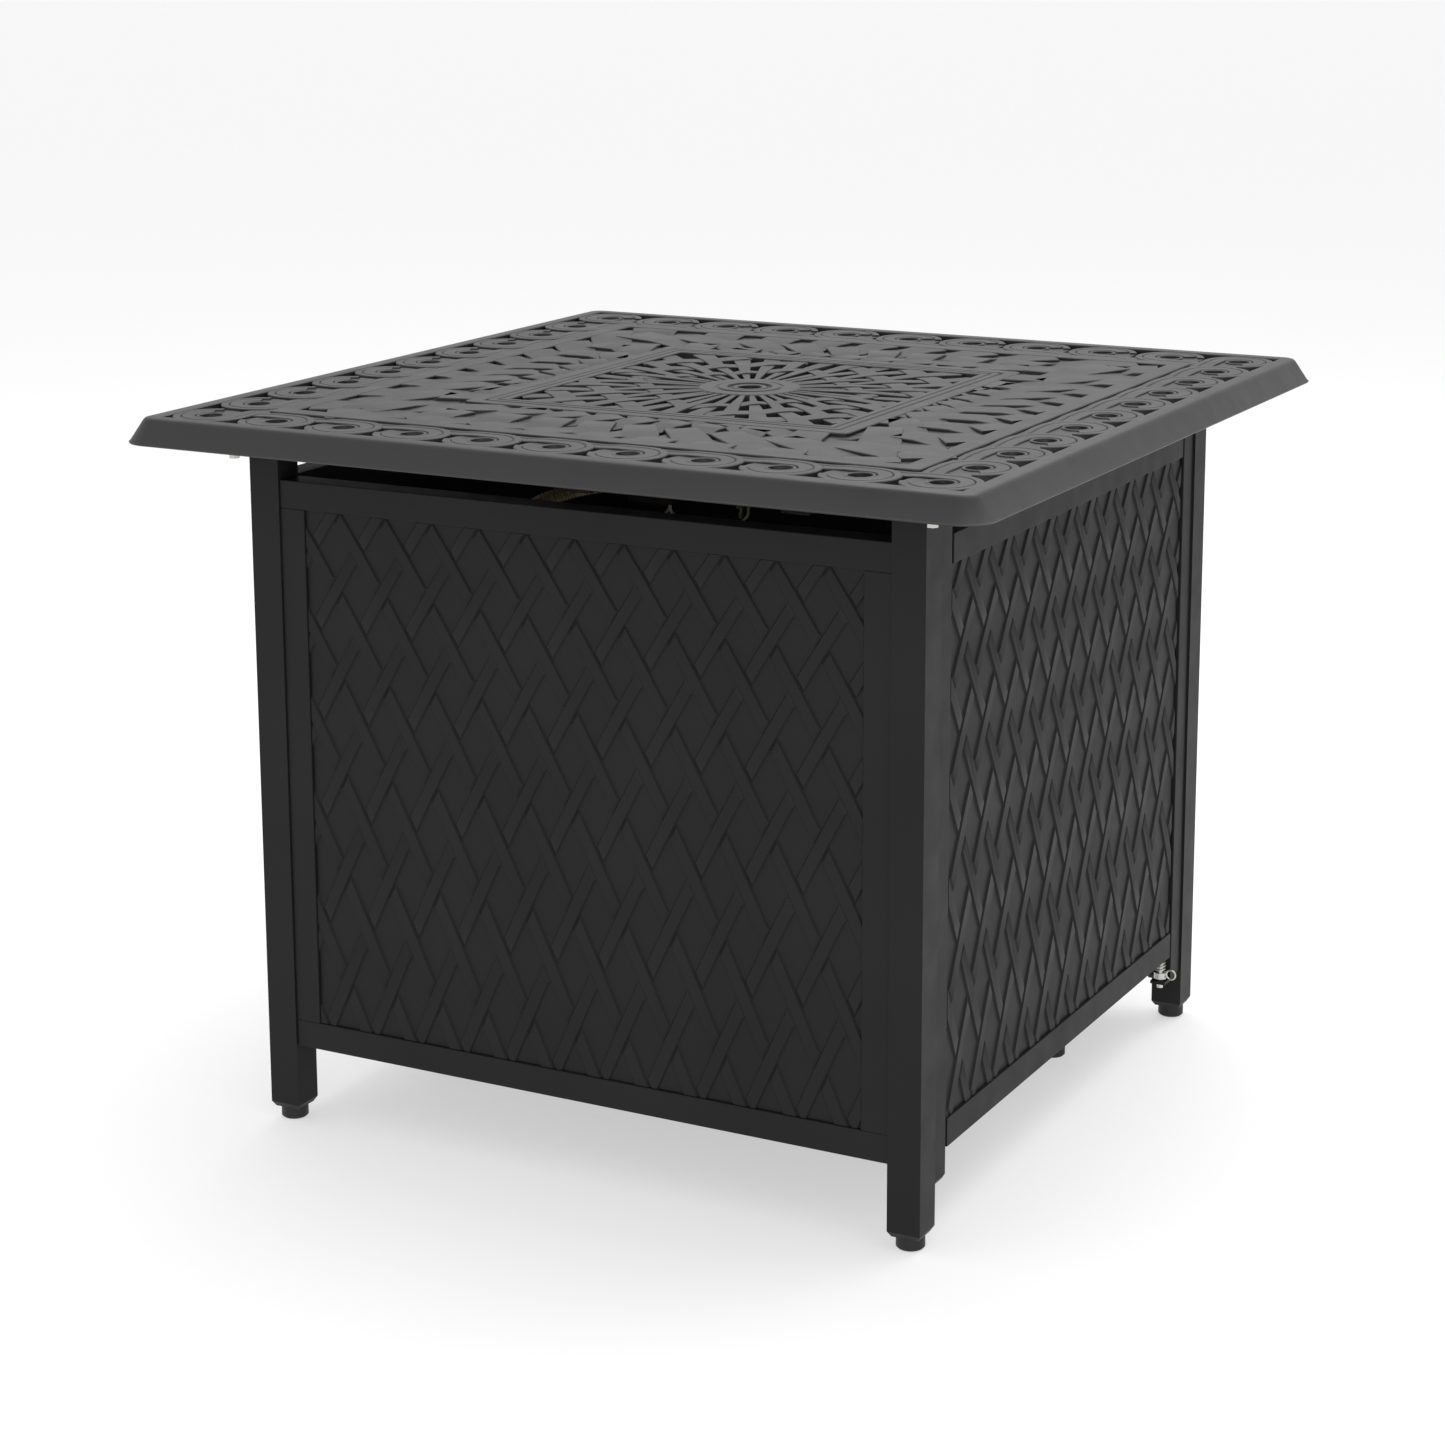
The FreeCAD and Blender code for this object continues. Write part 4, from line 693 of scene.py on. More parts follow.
@dataclass
class CastTop:
    """The cast table top: rim and skirt, scroll border, rail, woven field and the lid's seat."""

    top: float
    skirt_low: float
    seat: float
    boss_low: float
    skirt_half: float = 406.5
    top_half: float = 392.5
    corner: float = 28.0
    rim_inner: float = 378.0
    rail: Point2 = (294.0, 312.6)
    surround: Point2 = (176.5, 189.5)
    collar_half: float = 194.5
    opening_half: float = 163.0
    collar_depth: float = 14.0
    boss_middle: float = 310.0
    boss_half: float = 37.0
    web: float = 6.2
    edge_bevel: float = 0.8
    ledge_bevel: float = 0.5
    frame_corner: float = 6.0
    frame_steps: int = 2
    strip_depth: float = 4.4
    strip_bevel: float = 0.7

    def frame(self, draft: Draft, inner: float, outer: float, low: float, high: float,
              bevel: float, corner_at: float) -> None:
        """Adds one square bar.

        Args:
            draft: The draft that it is added to.
            inner: Its inner half width, in millimetres.
            outer: Its outer half width.
            low: The height of its underside.
            high: The height of its top.
            bevel: The bevel on its upper edges.
            corner_at: The half width at which its corners have the frame's radius.
        """
        square_ring(draft, bar_profile(inner, outer, low, high, bevel), self.frame_corner,
                    corner_at, self.frame_steps)

    def skirt(self, draft: Draft) -> None:
        """Adds the flat rim and the flared skirt with its softened edges."""
        flare = self.skirt_half - self.top_half
        profile = [(self.rim_inner, self.top - self.web),
                   (self.rim_inner, self.top - self.edge_bevel),
                   (self.rim_inner + self.edge_bevel, self.top), (self.top_half - 2.8, self.top),
                   (self.top_half - 1.0, self.top - 0.5), (self.top_half + 0.4, self.top - 1.7),
                   (self.top_half + 1.8, self.top - 3.6),
                   (self.skirt_half - flare * 0.10, self.skirt_low + 2.2),
                   (self.skirt_half, self.skirt_low + 1.0), (self.skirt_half - 0.7, self.skirt_low),
                   (self.skirt_half - 3.9, self.skirt_low), (self.top_half - 3.0, self.top - 8.0),
                   (self.top_half - 5.5, self.top - self.web)]
        square_ring(draft, profile, self.corner, self.skirt_half, steps=9)

    def frames(self, draft: Draft) -> None:
        """Adds the rail round the woven field, the lid's surround and the collar under it."""
        low = self.top - self.web
        rail_outer, lid_outer = self.rail[1], self.surround[1]
        square_ring(draft, bar_profile(*self.rail, low, self.top, self.edge_bevel),
                    self.frame_corner - 1.0, rail_outer, self.frame_steps)
        self.frame(draft, rail_outer - 5.0, rail_outer + 14.0, low, self.top - 2.2,
                   self.ledge_bevel, rail_outer)
        self.frame(draft, lid_outer - 2.0, lid_outer + 12.0, low, self.top - 3.4,
                   self.ledge_bevel, lid_outer)
        self.frame(draft, *self.surround, self.seat - 0.5, self.top, self.edge_bevel, lid_outer)
        self.frame(draft, self.opening_half, self.collar_half, self.seat - self.collar_depth,
                   self.seat, 0.4, self.collar_half)

    def bosses(self, draft: Draft) -> None:
        """Adds the four square bosses that the legs are bolted to."""
        for x in (-self.boss_middle, self.boss_middle):
            for y in (-self.boss_middle, self.boss_middle):
                draft.block((x - self.boss_half, y - self.boss_half, self.boss_low),
                            (x + self.boss_half, y + self.boss_half, self.top - 4.5))

    def build(self) -> None:
        """Makes the top and puts it in the scene."""
        draft = Draft()
        self.skirt(draft)
        self.frames(draft)
        self.bosses(draft)
        shell = coated(draft, "shell", CAST_COAT)
        field_strips = Lattice(inner=self.surround[1], outer=self.rail[0], top=self.top - 0.3)
        woven = coated(flat_bars(field_strips.strips(), self.strip_depth, self.strip_bevel),
                       "woven", CAST_COAT)
        border = ScrollBorder(low=self.top - 6.4, top=self.top - 0.7).mesh(CAST_COAT)
        whole = joined([shell, woven, border])
        smooth(whole)
        settled("table_top_cast", whole, CAST_COAT, "base", ("table_top",))


@dataclass
class CentreGrate:
    """The lift-off centre grate: a bar frame, a rosette, tapered spokes and crossing strips."""

    low: float
    top: float
    half: float = 175.0
    frame_bar: float = 15.5
    spokes: int = 36
    rosette: float = 47.0
    hole: float = 11.0
    spoke_share: float = 0.56
    diamonds: tuple[float, ...] = (87.0, 131.0, 174.0)
    strips: tuple[float, ...] = (14.5, 19.0, 20.0)
    lift: float = 0.6
    bar_depth: float = 4.8
    bar_bevel: float = 0.5
    spoke_slope: float = 8.0
    strip_slope: float = 3.5

    def rim(self, draft: Draft) -> None:
        """Adds the frame with the shallow groove along its middle."""
        inner, middle = self.half - self.frame_bar, self.half - self.frame_bar / 2
        profile = [(inner, self.low), (inner, self.top - 0.7), (inner + 0.7, self.top),
                   (middle - 1.3, self.top), (middle - 0.6, self.top - 0.9),
                   (middle + 0.6, self.top - 0.9), (middle + 1.3, self.top),
                   (self.half - 0.9, self.top), (self.half, self.top - 0.9), (self.half, self.low)]
        square_ring(draft, profile, 6.0, self.half, 3)

    def centre(self, draft: Draft) -> None:
        """Adds the stepped rosette round the finger hole."""
        top = self.top
        turned(draft, [(self.hole, self.low), (self.hole, top - 1.2), (self.hole + 0.8, top - 0.6),
                       (15.5, top - 0.6), (16.4, top - 1.9), (20.0, top - 1.9), (20.9, top),
                       (28.2, top), (29.2, top - 1.3), (31.2, top - 1.3), (32.2, top - 0.5),
                       (self.rosette - 0.9, top - 0.5), (self.rosette, top - 1.5),
                       (self.rosette, self.low)], steps=64)

    def edge(self, way: Vector) -> float:
        """How far from the middle a ray meets the frame."""
        return (self.half - self.frame_bar + 2.0) / max(abs(way.x), abs(way.y))

    def bars(self) -> list[list[tuple[Vector, float]]]:
        """The spokes and the crossing strips, each weaving over and under."""
        lines = []
        pitch = math.tau / self.spokes
        base = self.top - 0.4 - self.lift
        for index in range(self.spokes):
            angle = pitch * index
            way = Vector((math.cos(angle), math.sin(angle)))
            quarter = (angle + math.pi / 4) % (math.pi / 2) - math.pi / 4
            lean = math.cos(math.pi / 4 - abs(quarter))
            stations = [(self.rosette - 4.0, 0), (self.edge(way), 0)]
            for order, offset in enumerate(self.diamonds):
                along = offset / lean
                over = 1 if (index + order) % 2 else -1
                stations += [(along - self.spoke_slope, over), (along + self.spoke_slope, over)]
            stations = sorted(station for station in stations
                              if self.rosette - 5 < station[0] <= self.edge(way) + 0.01)
            lines.append([(Vector((way.x * along, way.y * along, base + over * self.lift)) * MM,
                           along * pitch * self.spoke_share) for along, over in stations])
        for order, offset in enumerate(self.diamonds):
            for quadrant in range(4):
                lines.append(self.crossing(order, offset, quadrant, pitch, base))
        return lines

    def crossing(self, order: int, offset: float, quadrant: int, pitch: float, base: float
                 ) -> list[tuple[Vector, float]]:
        """One strip across a quadrant.

        Args:
            order: Which diamond it belongs to.
            offset: Its distance from the middle, in millimetres.
            quadrant: Which quadrant it crosses.
            pitch: The angle between two spokes.
            base: The mean height of its top, in millimetres.

        Returns:
            Its points in metres, with its width in millimetres.
        """
        limit = self.half - self.frame_bar + 2.0
        normal = math.pi / 4 + quadrant * math.pi / 2
        out = Vector((math.cos(normal), math.sin(normal)))
        side = Vector((-out.y, out.x))
        span = min(offset, limit * math.sqrt(2) - offset)
        stations = [(-span, 0), (span, 0)]
        first = math.ceil((normal - math.pi / 4) / pitch - 1e-6)
        for index in range(first, first + self.spokes // 4 + 1):
            angle = pitch * index - normal
            if abs(angle) > math.pi / 4 + 1e-6:
                continue
            along = offset * math.tan(angle)
            if abs(along) < span:
                over = -1 if (index + order) % 2 else 1
                stations += [(along - self.strip_slope, over), (along + self.strip_slope, over)]
        stations = sorted(s for s in stations if -span <= s[0] <= span)
        return [(Vector((*(out * offset + side * along), base + over * self.lift)) * MM,
                 self.strips[order])
                for along, over in stations]

    def build(self) -> None:
        """Makes the grate and puts it in the scene."""
        draft = Draft()
        self.rim(draft)
        self.centre(draft)
        lattice = flat_bars(self.bars(), self.bar_depth, self.bar_bevel)
        whole = joined([coated(draft, "grate_frame", CAST_COAT),
                        coated(lattice, "grate_bars", CAST_COAT)])
        smooth(whole)
        settled("burner_lid_cast", whole, CAST_COAT, "lid", ("burner_lid",))


# ---------------------------------------------------------------- pressed panels

class Side(Enum):
    """The table's four sides, with the turn that brings a front panel to each."""

    FRONT = 0
    RIGHT = 90
    BACK = 180
    LEFT = 270


@dataclass
class PressedPanel:
    """A side panel pressed with ribs that cross in a plain weave and grow taller downwards."""

    node: str
    body: str
    side: Side
    pitch: float = 47.2
    peak: float = -270.9
    first_row: float = 605.0
    row_drop: float = 63.2
    row_growth: float = 3.8
    rows: int = 9
    columns: int = 14
    half_width: float = 0.150
    crown_width: float = 0.118
    end_slope: float = 0.085
    rise: float = 1.7

    def cell(self) -> Draft:
        """One rib of each direction; x in metres, y in rows downwards and z in metres."""
        draft = Draft()
        half = self.pitch / 2
        for lean, middle in ((-1, (-half * (1 - 2 * self.half_width), -0.5)),
                             (1, (half * 2 * self.half_width, -1.0))):
            along = Vector((lean * half, -0.5))
            across = Vector((-lean * half, -0.5))
            rings = []
            for width, end, height in ((self.half_width, 0.0, -0.4), (self.half_width, 0.0, 0.0),
                                       (self.crown_width + 0.006, self.end_slope * 0.75,
                                        self.rise - 0.3),
                                       (self.crown_width, self.end_slope, self.rise)):
                reach = 1 - self.half_width - end
                ring = []
                for side, shares in ((1, (-1, -0.5, 0, 0.5, 1)), (-1, (1, 0.5, 0, -0.5, -1))):
                    for share in shares:
                        spot = Vector(middle) + along * reach * share + across * width * side
                        ring.append(Vector((spot.x * MM, spot.y, height * MM)))
                rings.append(ring)
            draft.loops(rings, closed=False)
        return draft

    def ribs(self) -> bpy.types.Mesh:
        """All the ribs in the panel's own plane, repeated and stretched by Geometry Nodes."""
        tree = Tree("woven_ribs", columns=self.columns, rows=self.rows, pitch=self.pitch * MM,
                    left=(self.peak - self.pitch) * MM, first_row=self.first_row * MM,
                    row_drop=self.row_drop * MM, row_growth=self.row_growth * MM,
                    material=POWDER_COAT.material())
        begin = tree.node("ShaderNodeCombineXYZ", {"X": tree.given("left"), "Y": 1.0})
        pace = tree.node("ShaderNodeCombineXYZ", {"X": tree.given("pitch")})
        row = tree.copies(tree.entry.outputs[0], tree.given("columns"), begin.outputs[0],
                          pace.outputs[0])
        rows = tree.copies(row, tree.given("rows"), (0.0, 0.0, 0.0), (0.0, -1.0, 0.0))
        real = tree.node("GeometryNodeRealizeInstances", {"Geometry": rows})
        place = tree.node("GeometryNodeInputPosition")
        parts = tree.node("ShaderNodeSeparateXYZ", {"Vector": place.outputs[0]})
        count = tree.math("MULTIPLY", parts.outputs["Y"], -1.0)
        squared = tree.math("MULTIPLY", count, count)
        growth = tree.math("MULTIPLY", squared, tree.given("row_growth"))
        fall = tree.math("ADD", tree.math("MULTIPLY", count, tree.given("row_drop")), growth)
        height = tree.math("SUBTRACT", tree.given("first_row"), fall)
        moved = tree.node("ShaderNodeCombineXYZ", {"X": parts.outputs["X"], "Y": height,
                                                   "Z": parts.outputs["Z"]})
        stretched = tree.node("GeometryNodeSetPosition", {"Geometry": real.outputs[0],
                                                          "Position": moved.outputs[0]})
        tree.close(stretched.outputs[0])
        return tree.grown(self.cell().mesh("rib_cell"))

    @staticmethod
    def trimmed(mesh: bpy.types.Mesh, half: float, low: float, high: float) -> None:
        """Cuts a mesh to a rectangle of its own plane and closes the cuts.

        Args:
            mesh: The mesh.
            half: Half the rectangle's width, in metres.
            low: Its lower edge, in metres.
            high: Its upper edge, in metres.
        """
        work = bmesh.new()
        work.from_mesh(mesh)
        for spot, out in (((half, 0, 0), (1, 0, 0)), ((-half, 0, 0), (-1, 0, 0)),
                          ((0, high, 0), (0, 1, 0)), ((0, low, 0), (0, -1, 0))):
            bmesh.ops.bisect_plane(work, geom=work.verts[:] + work.edges[:] + work.faces[:],
                                   plane_co=spot, plane_no=out, clear_outer=True)
            rims = [edge for edge in work.edges if edge.is_boundary]
            bmesh.ops.holes_fill(work, edges=rims, sides=0)
        bmesh.ops.recalc_face_normals(work, faces=work.faces)
        work.to_mesh(mesh)
        work.free()

    @staticmethod
    def cleared(mesh: bpy.types.Mesh, low: Vector, high: Vector) -> None:
        """Takes away each whole rib that reaches into a box.

        Args:
            mesh: The ribs, in place.
            low: The box's lowest corner.
            high: Its highest corner.
        """
        work = bmesh.new()
        work.from_mesh(mesh)
        found = {vert for vert in work.verts
                 if low.y < vert.co.y < high.y and low.z < vert.co.z < high.z}
        edge = set(found)
        while edge:
            edge = {wire.other_vert(vert) for vert in edge for wire in vert.link_edges} - found
            found |= edge
        bmesh.ops.delete(work, geom=list(found), context="VERTS")
        work.to_mesh(mesh)
        work.free()

    def build(self) -> None:
        """Makes the panel and puts it in the scene."""
        low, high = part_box(self.node)
        turn = Matrix.Rotation(math.radians(self.side.value), 4, "Z")
        across = 0 if self.side in (Side.FRONT, Side.BACK) else 1
        half = (high[across] - low[across]) / 2
        face = {Side.FRONT: -low.y, Side.BACK: high.y, Side.LEFT: -low.x,
                Side.RIGHT: high.x}[self.side]
        pressed = self.ribs()
        self.trimmed(pressed, half - 0.3 * MM, low.z + 0.3 * MM, high.z - 0.3 * MM)
        stand = Matrix.Translation((0, -face, 0)) @ Matrix.Rotation(math.pi / 2, 4, "X")
        pressed.transform(turn @ stand)
        if self.side is Side.LEFT:
            self.cleared(pressed, *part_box("control_plate"))
        whole = joined([softened_mesh(self.node, 0.4), pressed])
        smooth(whole, 20.0)
        settled(f"{self.node}_pressed", whole, POWDER_COAT, self.body, (self.node,))


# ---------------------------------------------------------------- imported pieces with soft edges

def softened_mesh(node: str, width: float) -> bpy.types.Mesh:
    """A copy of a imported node's mesh, merged and with its hard edges bevelled.

    Args:
        node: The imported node.
        width: The bevel's width, in millimetres.

    Returns:
        The mesh.
    """
    work = bmesh.new()
    work.from_mesh(frame["nodes"][node].data)
    bmesh.ops.remove_doubles(work, verts=work.verts, dist=0.02 * MM)
    bmesh.ops.dissolve_limit(work, angle_limit=math.radians(1.0), verts=work.verts,
                             edges=work.edges)
    mesh = bpy.data.meshes.new(node)
    work.to_mesh(mesh)
    work.free()
    carrier = bpy.data.objects.new("carrier", mesh)
    bpy.context.scene.collection.objects.link(carrier)
    bevel = carrier.modifiers.new("soften", "BEVEL")
    bevel.width = width * MM
    bevel.segments = 2
    bevel.limit_method = "ANGLE"
    bevel.angle_limit = math.radians(50)
    made = baked(carrier)
    made.materials.clear()
    made.materials.append(FINISH_OF_SLOT[SLOT_OF_NODE[node]].material())
    return made


SLOT_OF_NODE = {row["node"]: row["material_slot"] for row in frame["record"]["subparts"]}
BODY_OF_NODE = {node: body for body, nodes in frame["record"]["behaviour"]["bodies"].items()
                for node in nodes}


@dataclass
class Cabinet:
    """Legs, rails, stiles and door posts, with the small radius that coated tube has."""

    tubes: tuple[str, ...] = ("leg_", "_rail", "_stile_", "door_post_hinge", "door_post_latch")
    plates: tuple[str, ...] = ("tray_bearers", "door_lug_bottom", "door_lug_top", "control_plate",
                               "air_mixer", "spark_module", "pan_straps", "gas_valve",
                                "table_bolts",
                               "door_magnet", "door_strike")
    left_out: tuple[str, ...] = ("leg_glides", "leg_plugs")
    tube_edge: float = 1.1
    plate_edge: float = 0.5

    def build(self) -> None:
        """Softens each tube and plate and puts it in the scene."""
        for node in sorted(frame["nodes"]):
            tube = any(part in node for part in self.tubes) and node not in self.left_out
            if not tube and node not in self.plates:
                continue
            mesh = softened_mesh(node, self.tube_edge if tube else self.plate_edge)
            smooth(mesh, 15.0)
            finish = FINISH_OF_SLOT[SLOT_OF_NODE[node]]
            settled(f"{node}_soft", mesh, finish, BODY_OF_NODE[node], (node,))


# ---------------------------------------------------------------- gas parts

@dataclass
class GasTube:
    """The corrugated tube from the valve to the air mixer."""

    radius: float = 6.6
    wave: float = 0.75
    ring_pitch: float = 3.2
    smoothness: int = 60

    def route(self) -> list[Vector]:
        """The tube's middle line in metres, at even steps."""
        mixer_low, mixer_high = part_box("air_mixer")
        valve_low, valve_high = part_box("gas_valve")
        tube_low, tube_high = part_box("gas_flex")
        level = (mixer_low.z + mixer_high.z) / 2
        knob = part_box("valve_stem")
        valve_y = (knob[0].y + knob[1].y) / 2
        valve_z = (knob[0].z + knob[1].z) / 2
        start, end = tube_high.x, tube_low.x
        reach = start - end
        drop = level - valve_z
        marks = [Vector((start, 0, level)), Vector((start - 0.22 * reach, 0, level)),
                 Vector((start - 0.47 * reach, 0.25 * valve_y, level - MM)),
                 Vector((start - 0.70 * reach, 0.7 * valve_y, level - 0.38 * drop)),
                 Vector((start - 0.86 * reach, valve_y, valve_z)), Vector((end, valve_y, valve_z))]
        ahead = [marks[0] * 2 - marks[1], *marks, marks[-1] * 2 - marks[-2]]
        dense = []
        for a, b, c, d in zip(ahead, ahead[1:], ahead[2:], ahead[3:]):
            for step in range(self.smoothness):
                t = step / self.smoothness
                dense.append(0.5 * (2 * b + (c - a) * t + (2 * a - 5 * b + 4 * c - d) * t * t
                                    + (3 * b - a - 3 * c + d) * t ** 3))
        dense.append(marks[-1])
        return dense

    def build(self) -> None:
        """Makes the tube with Geometry Nodes and puts it in the scene."""
        tree = Tree("corrugated_tube", radius=self.radius * MM, wave=self.wave * MM,
                    ring_pitch=self.ring_pitch * MM, material=GAS_TUBE.material())
        curve = tree.node("GeometryNodeMeshToCurve", {"Mesh": tree.entry.outputs[0]})
        fine = tree.math("DIVIDE", tree.given("ring_pitch"), 4.0)
        even = tree.node("GeometryNodeResampleCurve", {"Curve": curve.outputs[0], "Length": fine},
                         mode="LENGTH")
        index = tree.node("GeometryNodeInputIndex")
        phase = tree.math("MULTIPLY", index.outputs[0], math.pi / 2)
        wave = tree.math("MULTIPLY", tree.math("COSINE", phase, 0.0), tree.given("wave"))
        thick = tree.math("ADD", tree.given("radius"), wave)
        circle = tree.node("GeometryNodeCurvePrimitiveCircle", {"Resolution": 20, "Radius": 1.0})
        skin = tree.node("GeometryNodeCurveToMesh", {
            "Curve": even.outputs[0], "Profile Curve": circle.outputs[0], "Scale": thick,
            "Fill Caps": True})
        tree.close(skin.outputs[0])
        mesh = tree.grown(line_mesh("tube_line", self.route()))
        point_outwards(mesh)
        smooth(mesh, 60.0)
        settled("gas_flex_corrugated", mesh, GAS_TUBE, "base", ("gas_flex",))


@dataclass
class ReleaseSpring:
    """The coil over the door's lower pin, kept at the imported coil's length."""

    node: str = "release_spring"
    joint: str = "pin_release"

    def build(self) -> None:
        """Makes the coil and puts it in the scene."""
        low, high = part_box(self.node)
        coil = softened_mesh(self.node, 0.1)
        smooth(coil, 40.0)
        piece = settled(f"{self.node}_coil", coil, ZINC, BODY_OF_NODE[self.node], (self.node,))
        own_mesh(piece)


@dataclass
class BurnerPorts:
    """The row of gas ports round the top of the ring burner, drawn as thin near-black discs:
    painted shade for the shadowed inside of each port.
    """

    count: int = 40
    port: float = 1.3
    tube: float = 16.0

    def build(self) -> None:
        """Makes the near-black discs of painted port shade and puts them in the scene."""
        low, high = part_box("ring_burner")
        middle = (high.y - low.y) / 2 - self.tube * MM / 2
        draft = Draft()
        turned(draft, [(0.05, -0.6), (0.05, 0.05), (self.port, 0.12), (self.port + 0.5, -0.02),
                       (self.port + 0.5, -0.6)], steps=10)
        draft = draft.moved(Matrix.Translation((0, 0, high.z - 0.02 * MM)))
        tree = instance_tree(PORT_PAINTED_SHADE, row_count=1, pitch=MM, start=middle, reach=0.0,
                             turns=self.count)
        mesh = tree.grown(draft.mesh("port"))
        point_outwards(mesh)
        settled("burner_ports_painted_shade", mesh, PORT_PAINTED_SHADE, "base")


@dataclass
class ControlKnob:
    """The gas knob: a fluted skirt, a raised grip bar and a white pointer."""

    skirt: float = 22.0
    face: float = 17.5
    flutes: int = 28
    grip: Point2 = (5.0, 18.5)

    def build(self) -> None:
        """Makes the knob and puts it in the scene."""
        low, high = (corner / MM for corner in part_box("control_knob"))
        depth = high.x - low.x
        middle = Vector((high.x, (low.y + high.y) / 2, (low.z + high.z) / 2)) * MM
        draft = Draft()
        turned(draft, [(4.0, 0.0), (self.skirt - 0.8, 0.0), (self.skirt - 0.1, 0.8),
                       (self.skirt - 0.1, depth * 0.28), (self.skirt - 1.2, depth * 0.36),
                       (self.face + 0.4, depth * 0.42), (self.face, depth * 0.50),
                       (self.face - 0.8, depth * 0.58), (self.face - 2.5, depth * 0.62),
                       (0.3, depth * 0.62), (0.3, 1.5), (4.0, 1.5)], steps=56)
        wide, long = self.grip
        draft.loops([[Vector((x * wide * share, y * (long - (1 - share) * 6), height)) * MM
                      for x, y in ((-1, -1), (1, -1), (1, 1), (-1, 1))]
                     for share, height in ((1.0, depth * 0.60), (0.92, depth - 1.2),
                                           (0.78, depth))],
                    closed=False)
        mark = Draft()
        mark.block((-0.8, 3.0, depth - 0.4), (0.8, long - 2.5, depth + 0.15))
        flute = Draft()
        flute.loops([[Vector((self.skirt - 0.3 + 0.75 * math.cos(a), 0.95 * math.sin(a), z)) * MM
                      for a in (math.tau * k / 8 for k in range(8))] for z in (1.0, depth * 0.27)],
                    closed=False)
        tree = instance_tree(KNOB_BLACK, row_count=1, pitch=MM, start=0.0, reach=0.0,
                             turns=self.flutes)
        ribs = tree.grown(flute.mesh("flute"))
        whole = joined([coated(draft, "knob_body", KNOB_BLACK), ribs,
                        coated(mark, "pointer", POINTER_WHITE)])
        whole.transform(Matrix.Translation(middle) @ Matrix.Rotation(-math.pi / 2, 4, "Y"))
        point_outwards(whole)
        smooth(whole, 35.0)
        settled("control_knob_fluted", whole, KNOB_BLACK, "knob", ("control_knob",))


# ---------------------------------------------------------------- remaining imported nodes

def dress_packed_nodes() -> None:
    """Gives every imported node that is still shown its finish."""
    for name, node in frame["nodes"].items():
        if node.hide_render:
            continue
        material = FINISH_OF_SLOT[SLOT_OF_NODE[name]].material()
        node.data.materials.clear()
        node.data.materials.append(material)
        LOG.info("packed node %s in %s", name, material.name)


# ---------------------------------------------------------------- studio

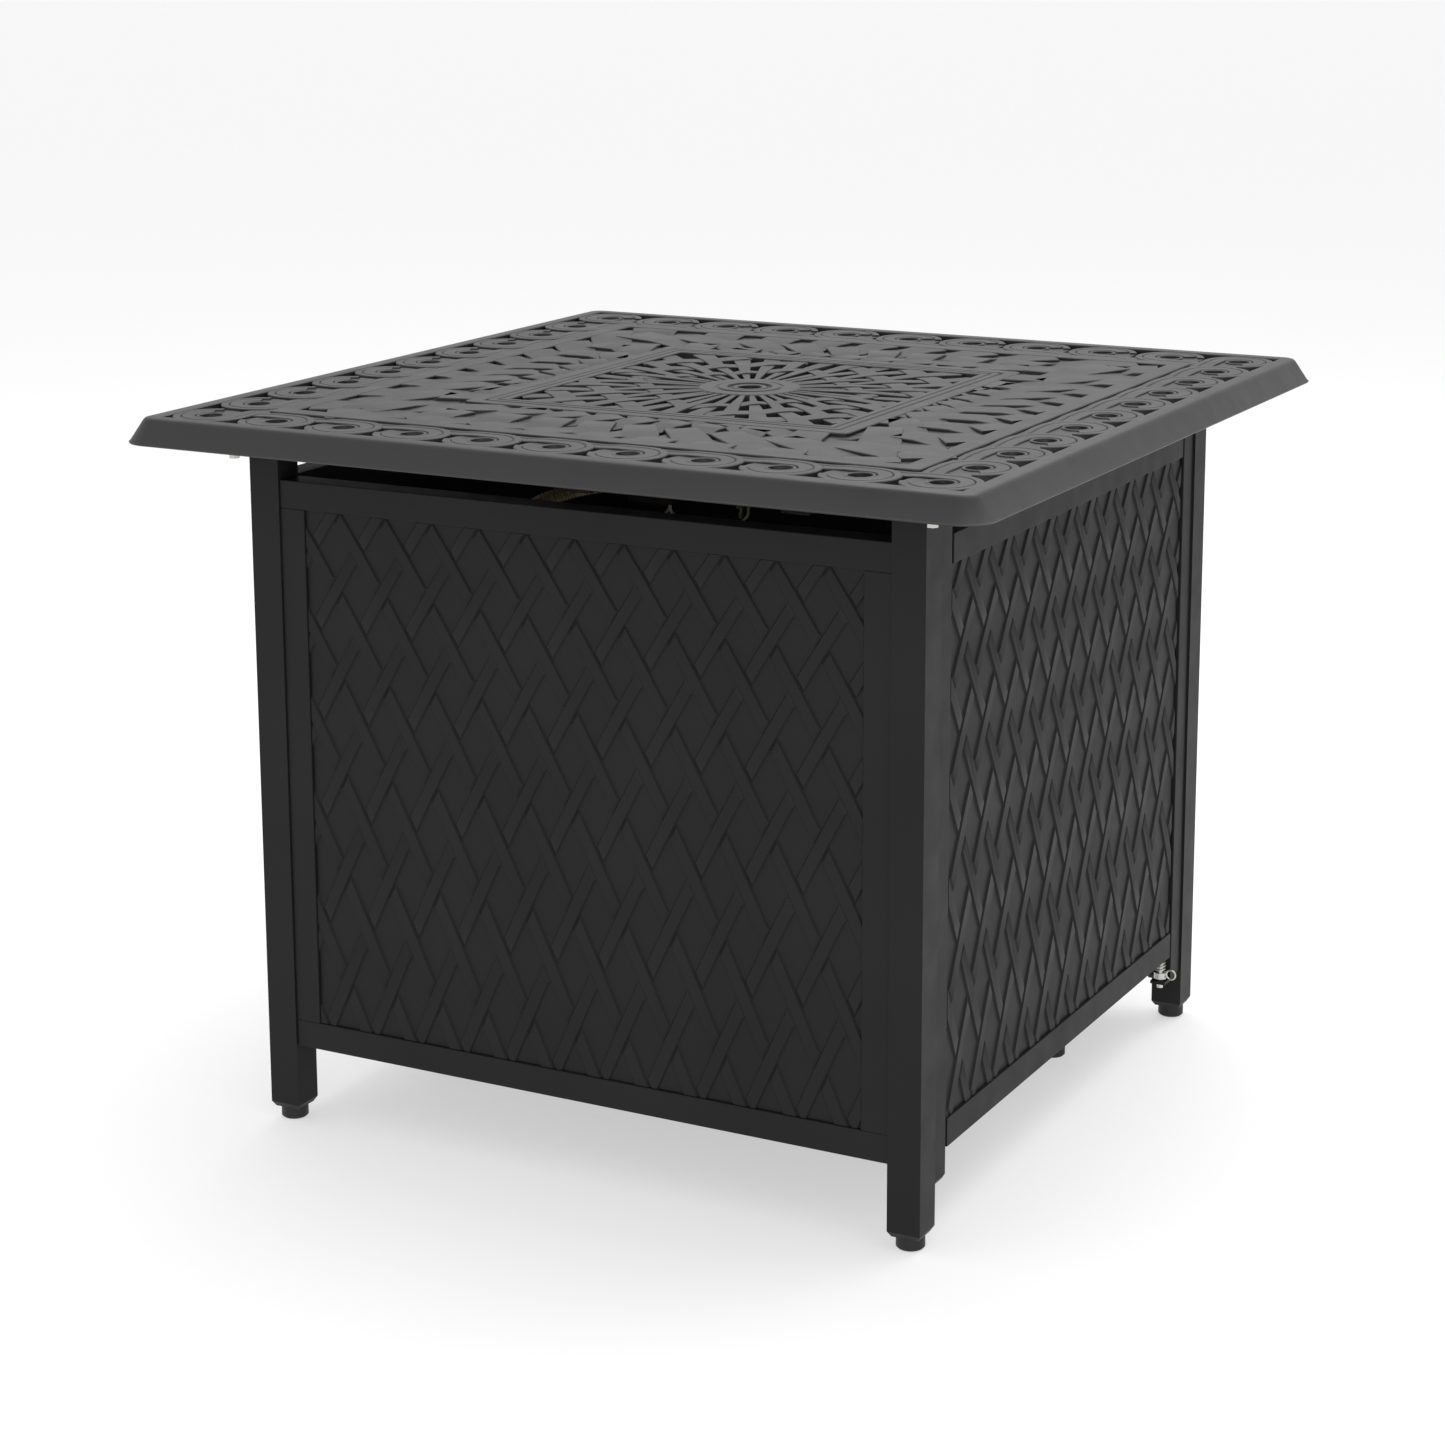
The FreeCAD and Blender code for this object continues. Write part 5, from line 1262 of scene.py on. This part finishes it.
@dataclass
class Studio:
    """A pale floor, soft lights and the camera."""

    focal: float = 3164.7
    picture: float = 1445.0
    sensor: float = 36.0
    centre_row: float = 550.0
    eye: Point3 = (1322.7, -2538.7, 1106.6)
    yaw: float = 28.030
    pitch: float = 11.949
    roll: float = -0.214
    floor_reach: float = 40.0
    floor_drop: float = 0.0004
    aim: Point3 = (0.0, 0.0, 0.4)

    def floor(self) -> None:
        """Lays the pale floor."""
        material = bpy.data.materials.new("studio_floor")
        material.use_nodes = True
        shader = material.node_tree.nodes["Principled BSDF"]
        shader.inputs["Base Color"].default_value = (0.50, 0.50, 0.50, 1.0)
        shader.inputs["Emission Color"].default_value = (1.0, 1.0, 1.0, 1.0)
        shader.inputs["Emission Strength"].default_value = 0.50
        shader.inputs["Roughness"].default_value = 0.9
        shader.inputs["Specular IOR Level"].default_value = 0.1
        reach = self.floor_reach
        mesh = bpy.data.meshes.new("floor")
        mesh.from_pydata([(-reach, -reach, 0), (reach, -reach, 0), (reach, reach, 0),
                          (-reach, reach, 0)], [], [(0, 1, 2, 3)])
        mesh.materials.append(material)
        floor = bpy.data.objects.new("floor", mesh)
        floor.location.z = -self.floor_drop
        bpy.context.scene.collection.objects.link(floor)

    def lights(self) -> None:
        """Sets a white surround and three soft boxes."""
        world = bpy.data.worlds.new("studio_surround")
        world.use_nodes = True
        background = world.node_tree.nodes["Background"]
        background.inputs["Color"].default_value = (1.0, 1.0, 1.0, 1.0)
        background.inputs["Strength"].default_value = 0.84
        bpy.context.scene.world = world
        for name, place, size, power in (("overhead", (0.2, 0.9, 3.2), 3.2, 85.0),
                                         ("front_right", (1.6, -3.8, 1.5), 1.2, 26.0),
                                         ("front_left", (-2.2, -2.6, 2.4), 2.0, 3.0)):
            lamp = bpy.data.lights.new(name, "AREA")
            lamp.energy = power
            lamp.size = size
            light = bpy.data.objects.new(name, lamp)
            light.location = place
            light.rotation_mode = "QUATERNION"
            light.rotation_quaternion = (Vector(place) - Vector(self.aim)).to_track_quat("Z", "Y")
            bpy.context.scene.collection.objects.link(light)

    def camera(self) -> None:
        """Sets the camera."""
        yaw, pitch, roll = (math.radians(angle) for angle in (self.yaw, self.pitch, self.roll))
        forward = Vector((-math.sin(yaw) * math.cos(pitch), math.cos(yaw) * math.cos(pitch),
                          -math.sin(pitch)))
        right = Vector((math.cos(yaw), math.sin(yaw), 0))
        above = right.cross(forward)
        across = right * math.cos(roll) + above * math.sin(roll)
        upright = above * math.cos(roll) - right * math.sin(roll)
        data = bpy.data.cameras.new("camera")
        data.sensor_width = self.sensor
        data.lens = self.focal / self.picture * self.sensor
        data.shift_y = (self.centre_row - self.picture / 2) / self.picture
        data.clip_start, data.clip_end = 0.05, 200.0
        camera = bpy.data.objects.new("camera", data)
        camera.matrix_world = Matrix.Translation(Vector(self.eye) * MM) @ Matrix(
            (across, upright, -forward)).transposed().to_4x4()
        bpy.context.scene.collection.objects.link(camera)
        bpy.context.scene.camera = camera

    def build(self) -> None:
        """Makes the floor, the lights and the camera."""
        self.floor()
        self.lights()
        self.camera()
        bpy.context.scene.view_settings.view_transform = "Standard"


def main() -> None:
    """Builds every piece in order."""
    logging.basicConfig(level=logging.INFO, format="%(name)s %(message)s")
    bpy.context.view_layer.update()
    table_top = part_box("table_top")[1].z / MM
    grate_low, grate_top = (corner.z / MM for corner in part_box("burner_lid"))
    plate_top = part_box("leg_front_left")[1].z / MM
    CastTop(table_top, table_top - SKIRT_HEIGHT, grate_low - FLANGE_SHEET, plate_top).build()
    CentreGrate(grate_low, grate_top).build()
    for node, body, side in (("front_panel", "base", Side.FRONT),
                             ("door_panel", "door", Side.RIGHT),
                             ("back_panel", "base", Side.BACK),
                             ("left_panel", "base", Side.LEFT)):
        PressedPanel(node, body, side).build()
    Cabinet().build()
    ReleaseSpring().build()
    GasTube().build()
    BurnerPorts().build()
    ControlKnob().build()
    dress_packed_nodes()
    Studio().build()


if __name__ == "__main__":
    main()
